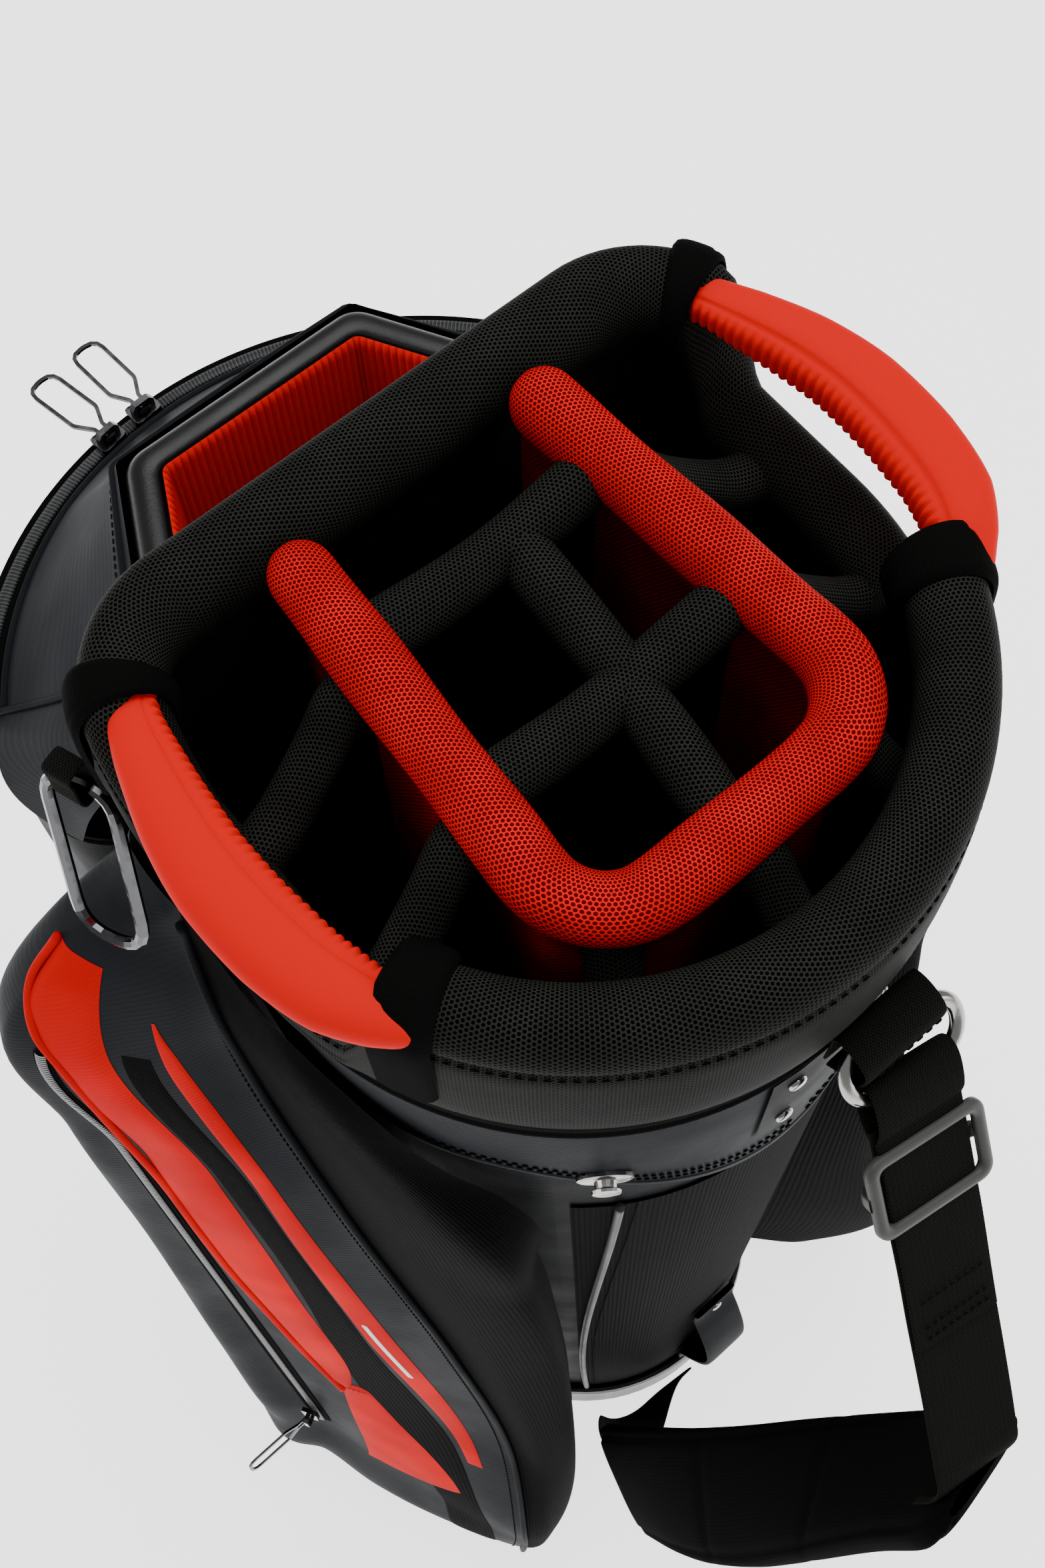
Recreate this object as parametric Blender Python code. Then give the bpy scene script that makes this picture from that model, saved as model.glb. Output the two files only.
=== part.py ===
"""Cart golf bag with a multi-way divider top, standing on its moulded base.

Metres, +Z up, origin on the floor at the middle of the base. -Y is the putter-well side,
+Y is the spine with the shoulder strap, +X and -X are the two garment-pocket sides.
Dimensions below are in millimetres and are scaled once, when a mesh is made.
"""

import math

import bpy
import numpy as np

MM = 0.001
GAP = 0.35

# Rim of the collar: height of its crest at y = 0, and its fall toward the spine.
RIM_Z = 878.0
RIM_FALL = 0.0743
# Plan of the collar (outer face) and of the base: radius, centre y, front y, corner radius.
COLLAR_PLAN = (129.0, -15.0, 118.0, 50.0)
BASE_PLAN = (113.0, 2.0, 112.0, 102.0)
PLAN_TOP_Z = 800.0
TUBE_IN = 8.0
TUBE_WALL = 3.0
SKIRT = 72.0
NOTCH_DROP = 41.0
# Divider walls.
U_ROLL = 10.5
U_WALL = 6.0
ROLL = 9.0
WALL = 4.5
WALL_FOOT = 12.0
# Rainbow zip of the front pocket: centre y, radius, height, half angle in degrees.
ARC = (-110.0, 161.0, 722.0, 57.0)
# Straight zip on each garment pocket: upper and lower ends on the pocket face.
ZIP_HIGH = (190.0, -90.0, 705.0)
ZIP_LOW = (212.0, -2.5, 205.0)

RUBBER_RED = (0.72, 0.035, 0.03)
MESH_RED = (0.60, 0.02, 0.025)
LEATHER_RED = (0.62, 0.025, 0.03)
MESH_BLACK = (0.012, 0.013, 0.012)
LEATHER_BLACK = (0.016, 0.017, 0.019)
WEB_BLACK = (0.011, 0.011, 0.010)
WOVEN_BLACK = (0.010, 0.010, 0.010)
PLASTIC_BLACK = (0.014, 0.014, 0.015)
PLASTIC_GREY = (0.16, 0.16, 0.155)
METAL_GREY = (0.42, 0.41, 0.40)
METAL_DARK = (0.10, 0.10, 0.105)


# ---------------------------------------------------------------- meshes

def make(name, points, faces, colour, rough=0.6, metal=0.0):
    mesh = bpy.data.meshes.new(name)
    mesh.from_pydata([tuple(p) for p in np.asarray(points) * MM], [], faces)
    mesh.validate()
    obj = bpy.data.objects.new(name, mesh)
    bpy.context.scene.collection.objects.link(obj)
    bpy.context.view_layer.objects.active = obj
    obj.select_set(True)
    bpy.ops.object.mode_set(mode="EDIT")
    bpy.ops.mesh.select_all(action="SELECT")
    bpy.ops.mesh.normals_make_consistent(inside=False)
    bpy.ops.object.mode_set(mode="OBJECT")
    mesh.shade_smooth()
    mesh.set_sharp_from_angle(angle=math.radians(35))
    material = bpy.data.materials.new(name + "_look")
    material.use_nodes = True
    bsdf = material.node_tree.nodes["Principled BSDF"]
    bsdf.inputs["Base Color"].default_value = (*colour, 1.0)
    bsdf.inputs["Roughness"].default_value = rough
    bsdf.inputs["Metallic"].default_value = metal
    mesh.materials.append(material)
    obj.select_set(False)
    return obj


def grid(rings, wrap_rings):
    """Points and faces of rings of equal length. Without wrap_rings the two end rings are capped."""
    rings = np.asarray(rings, float)
    count, around = rings.shape[:2]
    faces = []
    for i in range(count if wrap_rings else count - 1):
        j = (i + 1) % count
        for k in range(around):
            m = (k + 1) % around
            faces.append((i * around + k, i * around + m, j * around + m, j * around + k))
    if not wrap_rings:
        faces.append(tuple(range(around)))
        faces.append(tuple(range((count - 1) * around, count * around)))
    return rings.reshape(-1, 3), faces


def solid(name, rings, colour, wrap=False, **look):
    points, faces = grid(rings, wrap)
    return make(name, points, faces, colour, **look)


def sheet(name, outer, inner, colour, **look):
    """A closed sheet from two grids of points of equal shape."""
    outer = np.asarray(outer, float)
    inner = np.asarray(inner, float)
    rows, cols = outer.shape[:2]
    size = rows * cols
    faces = []
    for i in range(rows - 1):
        for k in range(cols - 1):
            a = i * cols + k
            quad = (a, a + 1, a + cols + 1, a + cols)
            faces.append(quad)
            faces.append(tuple(size + v for v in reversed(quad)))
    edge = [k for k in range(cols)]
    edge += [i * cols + cols - 1 for i in range(1, rows)]
    edge += [(rows - 1) * cols + k for k in range(cols - 2, -1, -1)]
    edge += [i * cols for i in range(rows - 2, 0, -1)]
    for a, b in zip(edge, edge[1:] + edge[:1]):
        faces.append((a, size + a, size + b, b))
    points = np.concatenate([outer.reshape(-1, 3), inner.reshape(-1, 3)])
    return make(name, points, faces, colour, **look)


def cut(obj, cutter):
    cutter.hide_render = True
    cutter.display_type = "WIRE"
    modifier = obj.modifiers.new("cut_" + cutter.name, "BOOLEAN")
    modifier.operation = "DIFFERENCE"
    modifier.solver = "EXACT"
    modifier.object = cutter


def spline(knots, values, at):
    """Smooth curve through values at knots. It keeps straight runs straight."""
    knots = np.asarray(knots, float)
    values = np.asarray(values, float)
    step = np.diff(knots)
    slope = np.diff(values, axis=0) / step[:, None]
    tangent = np.empty_like(values)
    tangent[0] = slope[0]
    tangent[-1] = slope[-1]
    weight = (step[1:] / (step[1:] + step[:-1]))[:, None]
    tangent[1:-1] = weight * slope[:-1] + (1 - weight) * slope[1:]
    i = int(np.clip(np.searchsorted(knots, at) - 1, 0, len(step) - 1))
    t = (at - knots[i]) / step[i]
    a = (1 + 2 * t) * (1 - t) ** 2 * values[i] + t * (1 - t) ** 2 * step[i] * tangent[i]
    b = t * t * (3 - 2 * t) * values[i + 1] + t * t * (t - 1) * step[i] * tangent[i + 1]
    return a + b


def smooth(x):
    x = min(max(x, 0.0), 1.0)
    return x * x * (3 - 2 * x)


# ---------------------------------------------------------------- plans

def outline(radius, centre, front, corner):
    """Closed D-shaped plan from the spine toward +X: 76 points, matched between sizes."""
    half = []
    for i in range(19):
        a = math.radians(5 * i)
        half.append((radius * math.sin(a), centre + radius * math.cos(a)))
    for i in range(1, 8):
        half.append((radius, centre + (-front + corner - centre) * i / 7))
    for i in range(1, 9):
        a = math.radians(11.25 * i)
        half.append((radius - corner + corner * math.cos(a), -front + corner - corner * math.sin(a)))
    for i in range(1, 6):
        half.append(((radius - corner) * (1 - i / 5), -front))
    mirrored = [(-x, y) for x, y in half[-2:0:-1]]
    return np.array(half + mirrored)


def plan(z, inward=0.0):
    """Plan of the bag's wall at height z; inward is measured from the collar's outer face."""
    t = min(max(z / PLAN_TOP_Z, 0.0), 1.0)
    radius, centre, front, corner = [a + (b - a) * t for a, b in zip(BASE_PLAN, COLLAR_PLAN)]
    return outline(radius - inward, centre, front - inward, corner - inward)


def wall_point(z, index, inward):
    """Point of the plan at a fractional index from the spine toward +X."""
    ring = plan(z, inward)
    low = int(index)
    return ring[low] + (ring[low + 1] - ring[low]) * (index - low)


def rim(y):
    return RIM_Z - RIM_FALL * y


def notch(x, y):
    if abs(x) < 70:
        return 0.0
    return NOTCH_DROP * smooth((y + 80) / 20) * smooth((38 - y) / 17)


def collar_ring(inward, h):
    """Ring of the collar at height h from the crest, following the two hand notches."""
    ring = []
    for x, y in outline(*[v - s * inward for v, s in zip(COLLAR_PLAN, (1, 0, 1, 1))]):
        top = rim(y) - notch(x, y)
        foot = rim(y) - SKIRT
        if h >= -26:
            z = top + h
        else:
            f = (-26 - h) / (SKIRT - 26)
            z = (top - 26) * (1 - f) + foot * f
        ring.append((x, y, z))
    return ring


def wall_ring(z, inward):
    return [(x, y, z) for x, y in plan(z, inward)]


def skirt_ring(drop, inward):
    """Ring that follows the slant of the rim, drop below the crest and under the notches."""
    ring = []
    for x, y in outline(*[v - s * inward for v, s in zip(COLLAR_PLAN, (1, 0, 1, 1))]):
        ring.append((x, y, rim(y) - drop))
    return ring


# ---------------------------------------------------------------- body

def base_and_tube():
    outer = [wall_ring(0, 3.2), wall_ring(1.5, 1.6), wall_ring(4, 1.0), wall_ring(48, 1.0), wall_ring(52, 2.0)]
    inner = [wall_ring(52, 4.2), wall_ring(46, 4.6), wall_ring(5, 4.6)]
    solid("base_cup", outer + inner, PLASTIC_BLACK, rough=0.5)
    levels = [5.4, 120, 300, 500, 700, 795]
    inside = TUBE_IN + TUBE_WALL
    rings = [wall_ring(z, TUBE_IN) for z in levels] + [skirt_ring(SKIRT + GAP, TUBE_IN)]
    rings += [skirt_ring(SKIRT + GAP, inside)] + [wall_ring(z, inside) for z in reversed(levels)]
    solid("body_tube", rings, WOVEN_BLACK, wrap=True, rough=0.8)


def collar():
    core = [collar_ring(8.0, -SKIRT), collar_ring(8.0, -25.8), collar_ring(11.4, -25.8), collar_ring(11.4, -SKIRT)]
    solid("collar_core", core, PLASTIC_GREY, wrap=True, rough=0.7)
    section = [
        (1.5, -72), (0.4, -50), (1.0, -26), (1.6, -17.5), (0.8, -15.5), (2.0, -8), (6.5, -2), (14, 0),
        (21.5, -2.5), (26.3, -9), (27.0, -18), (24, -26), (20, -36), (19, -72),
        (12, -72), (12, -21), (7.4, -21), (7.4, -72),
    ]
    pad = solid("collar_pad", [collar_ring(*p) for p in section], MESH_BLACK, wrap=True, rough=0.85)
    band = [
        skirt_ring(SKIRT + GAP, 4.2), skirt_ring(SKIRT + 10, 3.6), skirt_ring(SKIRT + 20, 4.2),
        skirt_ring(SKIRT + 20, 7.5), skirt_ring(SKIRT + GAP, 7.5),
    ]
    solid("binding_band", band, WEB_BLACK, wrap=True, rough=0.85)
    return pad


def yoke():
    """Leatherette band under the binding; its lower edge dips at the spine."""
    rings = []
    for part, inward in ((0, 5.4), (1, 5.4), (1, 7.5), (0, 7.5)):
        ring = []
        for index, (x, y) in enumerate(outline(*[v - s * inward for v, s in zip(COLLAR_PLAN, (1, 0, 1, 1))])):
            turn = abs(math.degrees(math.atan2(x, y + 15)))
            low = 662 + 62 * smooth(turn / 55)
            high = rim(y) - SKIRT - 20.4
            z = high if part == 0 else low
            here = plan(z, inward)[index]
            ring.append((here[0], here[1], z))
        rings.append(ring)
    middle = []
    for inward in (5.4, 7.5):
        ring = []
        for top, low, index in zip(rings[0], rings[1], range(76)):
            z = (top[2] + low[2]) / 2
            here = plan(z, inward)[index]
            ring.append((here[0], here[1], z))
        middle.append(ring)
    rings = [rings[0], middle[0], rings[1], rings[2], middle[1], rings[3]]
    solid("yoke_band", rings, LEATHER_BLACK, wrap=True, rough=0.5)


# ---------------------------------------------------------------- swept pieces

def sweep(path, across, profile):
    """Sections of a profile (a across, b outward) along a path; across is one direction or one per point."""
    path = np.asarray(path, float)
    across = np.asarray(across, float)
    if across.ndim == 1:
        across = np.tile(across, (len(path), 1))
    rings = []
    for i, point in enumerate(path):
        tangent = path[min(i + 1, len(path) - 1)] - path[max(i - 1, 0)]
        tangent /= np.linalg.norm(tangent)
        out = np.cross(tangent, across[i])
        out /= np.linalg.norm(out)
        side = np.cross(out, tangent)
        rings.append([point + a * side + b * out for a, b in profile])
    return rings


def box_profile(width, thick, bevel=0.8):
    w, t = width / 2, thick / 2
    return [
        (-w, -t + bevel), (-w + bevel, -t), (w - bevel, -t), (w, -t + bevel),
        (w, t - bevel), (w - bevel, t), (-w + bevel, t), (-w, t - bevel),
    ]


def bar_profile(width, thick):
    w, t = width / 2, thick / 2
    return [(-w, -t), (w, -t), (w, t), (-w, t)]


def round_profile(width, thick, count=8):
    return [
        (width / 2 * math.cos(2 * math.pi * i / count), thick / 2 * math.sin(2 * math.pi * i / count))
        for i in range(count)
    ]


def closed_sweep(path, normal, profile):
    """Sections round a closed path that lies in one plane: a lies in the plane, b along its normal."""
    path = np.asarray(path, float)
    normal = np.asarray(normal, float) / np.linalg.norm(normal)
    rings = []
    for i, point in enumerate(path):
        tangent = path[(i + 1) % len(path)] - path[i - 1]
        out = np.cross(tangent, normal)
        out /= np.linalg.norm(out)
        rings.append([point + a * out + b * normal for a, b in profile])
    return rings


def rounded(corners, radius, steps=4):
    """Closed polygon with rounded corners, as (u, v) points."""
    points = []
    corners = [np.array(c, float) for c in corners]
    radii = radius if isinstance(radius, (list, tuple)) else [radius] * len(corners)
    for i, corner in enumerate(corners):
        a = corners[i - 1] - corner
        b = corners[(i + 1) % len(corners)] - corner
        a /= np.linalg.norm(a)
        b /= np.linalg.norm(b)
        half = math.acos(float(np.clip(a @ b, -1, 1))) / 2
        reach = radii[i] / math.tan(half)
        start, end = corner + a * reach, corner + b * reach
        for k in range(steps + 1):
            t = k / steps
            points.append((1 - t) ** 2 * start + 2 * t * (1 - t) * corner + t * t * end)
    return np.array(points)


# ---------------------------------------------------------------- handles

def handles(pad):
    """Moulded grips over the two hand notches, with fabric cuffs where they enter the collar."""
    ys = [-90, -84, -77, -68, -56, -42, -26, -10, 6, 20, 31, 40, 47, 53]
    xs = [103.5, 108, 111.8, 115.2, 118.4, 121, 122.6, 122.4, 120.2, 116.8, 112.6, 107.6, 103.0, 98.0]
    size = [0.55, 0.62, 0.7, 0.95, 1, 1, 1, 1, 1, 1, 0.95, 0.7, 0.62, 0.55]
    for side, word in ((1, "left"), (-1, "right")):
        for grow, name in ((0.0, "handle_" + word), (0.4, "cut_handle_" + word)):
            rings = []
            for i in range(len(ys)):
                j, k = max(i - 1, 0), min(i + 1, len(ys) - 1)
                along = np.array([xs[k] - xs[j], ys[k] - ys[j], 0.0])
                along /= np.linalg.norm(along)
                out = np.array([along[1], -along[0], 0.0])
                shift = (-0.5 if side > 0 else 3.0) * smooth((size[i] - 0.6) / 0.35)
                middle = np.array([xs[i] + shift, ys[i], rim(ys[i]) - 9 + 3.0 * math.cos((ys[i] + 15) / 50)])
                middle += along * grow * (2 if i == len(ys) - 1 else -2 if i == 0 else 0)
                w = 13.0 * size[i] + grow
                t = 8.0 * (0.75 if size[i] < 0.9 else 1.0) + grow
                section = [
                    (-w, -t * 0.55), (-w * 0.8, -t), (w * 0.75, -t), (w, -t * 0.6),
                    (w * 0.98, t * 0.25), (w * 0.7, t * 0.85), (0, t), (-w * 0.75, t * 0.92), (-w, t * 0.6),
                ]
                ring = [middle + a * out + np.array([0, 0, b]) for a, b in section]
                rings.append([(p[0] * side, p[1], p[2]) for p in ring])
            obj = solid(name, rings, RUBBER_RED, rough=0.45)
            if grow:
                cut(pad, obj)
                cutter = obj
        for start, name in ((24.0, "rear"), (-88.0, "front")):
            cuff(word, name, side, cutter)


def cuff(word, place, side, cutter):
    """A saddle of binding fabric over the collar roll beside a notch."""
    count = 4
    section = [(-0.4, -46), (-0.5, -17), (1.2, -7.5), (6, -1.2), (14, 1.0), (22, -1.6), (27.3, -8.5), (28.2, -18), (25.2, -27), (21.2, -38), (20.6, -46)]
    thick = 1.5
    rings = []
    for j in range(count):
        t = j / (count - 1)
        if place == "rear":
            a = math.radians(60.5 - 6.5 * t)
            make_point = rear_point(a)
        else:
            make_point = front_point(math.radians(20 + 17 * t))
        outer = [make_point(d - GAP, h + GAP) for d, h in thicken(section, thick)]
        inner = [make_point(d, h) for d, h in thicken(section, GAP)]
        ring = [(p[0] * side, p[1], p[2]) for p in outer + inner[::-1]]
        rings.append(ring)
    cut(solid("cuff_" + word + "_" + place, rings, WEB_BLACK, rough=0.85), cutter)


def thicken(section, amount):
    """Offset an open section line outward from the collar."""
    points = np.array(section, float)
    result = []
    for i in range(len(points)):
        along = points[min(i + 1, len(points) - 1)] - points[max(i - 1, 0)]
        along /= np.linalg.norm(along)
        normal = np.array([-along[1], along[0]])
        result.append(points[i] + normal * amount)
    return result


def rear_point(angle):
    def point(d, h):
        r = COLLAR_PLAN[0] - d
        x, y = r * math.sin(angle), COLLAR_PLAN[1] + r * math.cos(angle)
        return x, y, collar_height(x, y, h)
    return point


def front_point(angle):
    radius, _, front, corner = COLLAR_PLAN
    def point(d, h):
        r = corner - d
        x, y = radius - corner + r * math.cos(angle), -front + corner - r * math.sin(angle)
        return x, y, collar_height(x, y, h)
    return point


def collar_height(x, y, h):
    top = rim(y) - notch(x, y)
    if h >= -26:
        return top + h
    f = (-26 - h) / (SKIRT - 26)
    return (top - 26) * (1 - f) + (rim(y) - SKIRT) * f


# ---------------------------------------------------------------- dividers

def divider(name, path, crest, colour, roll=ROLL, wall=WALL, grow=0.0, foot=WALL_FOOT):
    """A fabric wall along a plan path with a padded roll on top."""
    path = np.asarray(path, float)
    rings = []
    r, w = roll + grow, wall / 2 + grow
    delta = math.asin(w / r)
    for i, point in enumerate(path):
        along = path[min(i + 1, len(path) - 1)] - path[max(i - 1, 0)]
        along /= np.linalg.norm(along)
        across = np.array([along[1], -along[0]])
        centre = crest[i] - roll
        ring = [(*(point + across * w), foot - grow)]
        for k in range(11):
            a = delta + (2 * math.pi - 2 * delta) * k / 10
            ring.append((*(point + across * r * math.sin(a)), centre - r * math.cos(a)))
        ring.append((*(point - across * w), foot - grow))
        rings.append(ring)
    return solid(name, rings, colour, rough=0.85)


def dividers():
    arm = [(51.5 + 0.0742 * (y + 20), y) for y in (-89, -76, -60, -44, -28, -12, 4, 20, 33)]
    bend = [(30.5 + 25 * math.cos(math.radians(a)), 34.5 + 25 * math.sin(math.radians(a))) for a in (15, 33, 51, 70, 90)]
    half = arm + bend + [(15, 59.9)]
    path = half + [(0, 60.0)] + [(-x, y) for x, y in reversed(half)]
    crest = [rim(y) + 3 for _, y in path]
    divider("divider_u", path, crest, MESH_RED, U_ROLL, U_WALL)
    cut_u = divider("cut_u", path, crest, MESH_RED, U_ROLL, U_WALL, grow=0.4, foot=5)
    cross = {}
    for word, y in (("front", -55.0), ("rear", 4.0)):
        reach = 51.5 + 0.0742 * (y + 20)
        line = [(reach * t, y) for t in (-1, -0.85, -0.65, -0.4, -0.15, 0.1, 0.35, 0.6, 0.82, 1)]
        top = [rim(y) - 2 - 7 * (1 - (x / reach) ** 2) for x, _ in line]
        cross[word] = divider("divider_cross_" + word, line, top, MESH_BLACK)
        cut(cross[word], cut_u)
        cutter = divider("cut_cross_" + word, line, top, MESH_BLACK, grow=0.4, foot=5)
        cross["cut_" + word] = cutter
    line = [(-12.5, -55), (-11, -40), (-10, -25), (-9, -10), (-8, 4)]
    long_front = divider("divider_long_front", line, [rim(y) - 10 for _, y in line], MESH_BLACK)
    cut(long_front, cross["cut_front"])
    cut(long_front, cross["cut_rear"])
    line = [(-6, 4), (-5, 18), (-3, 32), (-1, 46), (0, 60)]
    long_rear = divider("divider_long_rear", line, [rim(y) - 9 for _, y in line], MESH_BLACK)
    cut(long_rear, cross["cut_rear"])
    cut(long_rear, cut_u)
    # One thick ring follows the inner face of the tube and of the padded collar, and trims the outer walls.
    inside = TUBE_IN + TUBE_WALL + 0.4
    rings = [wall_ring(z, inside) for z in (4, 300, 600, 790)] + [skirt_ring(SKIRT + 0.8, inside)]
    rings += [collar_ring(19.4, -SKIRT), collar_ring(20.4, -36), collar_ring(24.4, -26.4), collar_ring(27.4, -18)]
    rings += [skirt_ring(-90, 27.4), skirt_ring(-90, -30), wall_ring(4, -30)]
    trim = solid("cut_surround", rings, MESH_BLACK, wrap=True)
    spots = [
        ((49.3, -49), (112, -40), 26, 44), ((53.5, 7), (112, 19), 26, 44), ((46, 54), (80, 108), 4, 34),
        ((0, 60), (0, 118), 4, 34), ((-46, 54), (-80, 108), 4, 34), ((-53.5, 7), (-112, 19), 26, 44),
        ((-49.3, -49), (-112, -40), 26, 44),
    ]
    for number, (start, end, high, low) in enumerate(spots, 1):
        start, end = np.array(start, float), np.array(end, float)
        line = [start + (end - start) * t for t in (0, 0.2, 0.4, 0.6, 0.8, 1.0)]
        top = []
        for t, p in zip((0, 0.2, 0.4, 0.6, 0.8, 1.0), line):
            fall = smooth(t / 0.9) * (low - 8) + 8 if high < 20 else 10 + 38 * smooth(t)
            top.append(rim(p[1]) - fall)
        piece = divider("divider_outer_%d" % number, line, top, MESH_BLACK)
        cut(piece, cut_u)
        cut(piece, trim)


# ---------------------------------------------------------------- putter well and front pocket

def well():
    corners = [(-50, -190), (50, -190), (84, -126), (-84, -126)]
    path = rounded(corners, [12, 12, 10, 10])
    def ring(inset, z):
        middle = np.array([0, -158.0])
        moved = rounded([offset_corner(corners, i, inset) for i in range(4)], [max(12 - inset * 0.5, 4)] * 4)
        return [(x, y, z) for x, y in moved]
    rim_rings = [ring(0, 806), ring(-1.2, 812), ring(1.0, 820), ring(5, 823), ring(11.5, 822), ring(12, 806)]
    solid("well_rim", rim_rings, PLASTIC_BLACK, wrap=True, rough=0.45)
    liner = []
    outer = dense(rounded([offset_corner(corners, i, 12.4) for i in range(4)], 5), 2.4)
    teeth = np.array([ribbed(outer, i) for i in range(len(outer))])
    for z in (824.5, 762.0):
        liner.append([(x, y, z) for x, y in outer])
    for z in (762.0, 822.0):
        liner.append([(x, y, z) for x, y in teeth])
    solid("well_liner", liner, RUBBER_RED, wrap=True, rough=0.45)
    sock = []
    for inset, z in ((13, 761.6), (16, 600), (20, 420), (23, 420), (19, 600), (16, 761.6)):
        sock.append((inset, z))
    outer_rings = [ring(13, 761.6), ring(17, 600), ring(21, 400)]
    inner_rings = [ring(23, 402.5), ring(19, 600), ring(15.5, 761.6)]
    points, faces = grid(outer_rings + inner_rings, False)
    count = len(outer_rings[0])
    faces = faces[:-2]
    bottom = [k + 2 * count for k in range(count)]
    floor = [k + 3 * count for k in range(count)]
    faces = [f for f in faces if not (set(f) & set(bottom) and set(f) & set(floor))]
    faces.append(tuple(bottom))
    faces.append(tuple(floor))
    last = 5 * count
    for k in range(count):
        m = (k + 1) % count
        faces.append((last + k, last + m, m, k))
    make("well_sock", points, faces, WOVEN_BLACK, rough=0.85)


def offset_corner(corners, i, inset):
    """Corner i of a convex polygon moved inward by inset."""
    here = np.array(corners[i], float)
    before = np.array(corners[i - 1], float)
    after = np.array(corners[(i + 1) % len(corners)], float)
    a = (here - before) / np.linalg.norm(here - before)
    b = (after - here) / np.linalg.norm(after - here)
    na, nb = np.array([-a[1], a[0]]), np.array([-b[1], b[0]])
    bisector = na + nb
    return here + bisector * inset / (bisector @ na)


def dense(loop, step):
    """Points at an even step round a closed loop, an even number of them."""
    loop = np.asarray(loop, float)
    closed = np.vstack([loop, loop[:1]])
    length = np.concatenate([[0], np.cumsum(np.linalg.norm(np.diff(closed, axis=0), axis=1))])
    count = 2 * int(length[-1] / step / 2)
    at = np.linspace(0, length[-1], count, endpoint=False)
    return np.stack([np.interp(at, length, closed[:, 0]), np.interp(at, length, closed[:, 1])], 1)


def ribbed(loop, i):
    along = loop[(i + 1) % len(loop)] - loop[i - 1]
    along /= np.linalg.norm(along)
    return loop[i] + np.array([-along[1], along[0]]) * (3.4 if i % 2 else 2.0)


# Columns of the front pocket from its +X root to its middle, at four heights.
FRONT_Z = [722.0, 640.0, 500.0, 320.0, 150.0, 62.0]
FRONT_COLUMNS = [
    [(134, -134), (139, -164), (134.5, -198.5), (101.3, -235.1), (55, -261.3), (0, -271)],
    [(134, -134), (140, -164), (137, -200), (104, -238), (56, -266), (0, -276)],
    [(133, -134), (139, -162), (136, -198), (103, -238), (56, -265), (0, -275)],
    [(128, -132), (133, -158), (129, -190), (98, -228), (53, -254), (0, -264)],
    [(122, -130), (124, -150), (117, -176), (88, -210), (48, -232), (0, -240)],
    [(108, -122), (108, -138), (101, -158), (76, -184), (40, -202), (0, -208)],
]


def front_surface(u, z):
    """Point of the front pocket's face: u from 0 at the +X root to 12 at the -X root."""
    level = [spline(FRONT_Z[::-1], [FRONT_COLUMNS[::-1][k][c] for k in range(6)], z) for c in range(6)]
    level = [wall_point(z, 30.0, -1.2)] + level
    level = level + [np.array([-p[0], p[1]]) for p in level[-2::-1]]
    x, y = spline(range(13), level, u)
    return np.array([x, y, z])


# Columns of a garment pocket (+X side) at ten heights: two gusset folds, piped edge, two on the flat
# face, zip line, outermost side, front side. The face runs flat from the piped edge to the zip line,
# and the two roots are computed from the wall.
SIDE_Z = [790.0, 768.0, 740.0, 700.0, 600.0, 450.0, 300.0, 170.0, 85.0, 50.0]
SIDE_COLUMNS = [
    [(129.3, -44), (129.8, -50), (130.2, -57), (130.6, -63), (130.8, -69), (130.6, -75), (130, -81), (128.5, -87)],
    [(130.5, -28), (131.5, -42), (133, -54), (137, -63), (141, -72), (143, -81), (142, -91), (136, -99)],
    [(131, 10), (136, -18), (138, -42), (149, -56), (158, -70), (165, -84), (167, -96), (156, -110)],
    [(120, 58), (134, 20), (140, -31), None, None, None, (196, -105), (176, -122)],
    [(111, 85), (131, 54), (142, 8), None, None, None, (207, -94), (187, -124)],
    [(107, 103), (128, 90), (139, 63), None, None, None, (216, -78), (193, -120)],
    [(110, 114), (132, 118), (142, 101), None, None, None, (228, -48), (200, -114)],
    [(116, 124), (144, 140), (164, 134), None, None, None, (236, -26), (204, -106)],
    [(114, 118), (141, 132), (160, 126), (188, 86), (208, 44), (219, 8), (232, -24), (200, -102)],
    [(104, 106), (122, 114), (136, 107), (158, 76), (176, 38), (188, 4), (200, -24), (170, -92)],
]
REAR_ROOT = [22.0, 19.0, 13.6, 10.4, 9.6, 9.2, 9.0, 9.0, 9.0, 9.0]


def zip_point(z):
    t = (z - ZIP_LOW[2]) / (ZIP_HIGH[2] - ZIP_LOW[2])
    return np.array([a + (b - a) * t for a, b in zip(ZIP_LOW[:2], ZIP_HIGH[:2])])


def side_columns():
    table = []
    for z, row, root in zip(SIDE_Z, SIDE_COLUMNS, REAR_ROOT):
        row = list(row)
        if row[3] is None:
            edge, line = np.array(row[2], float), zip_point(z)
            along = line - edge
            out = np.array([-along[1], along[0]]) / np.linalg.norm(along)
            row[3] = edge + 0.36 * along + 3.0 * out
            row[4] = edge + 0.70 * along + 2.5 * out
            row[5] = line
        full = [wall_point(z, root, -1.2)] + [np.array(p, float) for p in row]
        full.append(wall_point(z, 28.0, -1.2))
        table.append(full)
    return table


SIDE_TABLE = side_columns()


def side_surface(u, z):
    """Point of the +X pocket's face: u is the column, from 0 at the gusset root to 9 at the front root."""
    knots = SIDE_Z[::-1]
    level = [spline(knots, [SIDE_TABLE[9 - k][c] for k in range(10)], z) for c in range(10)]
    x, y = spline(range(10), level, u)
    return np.array([x, y, z])


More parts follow.
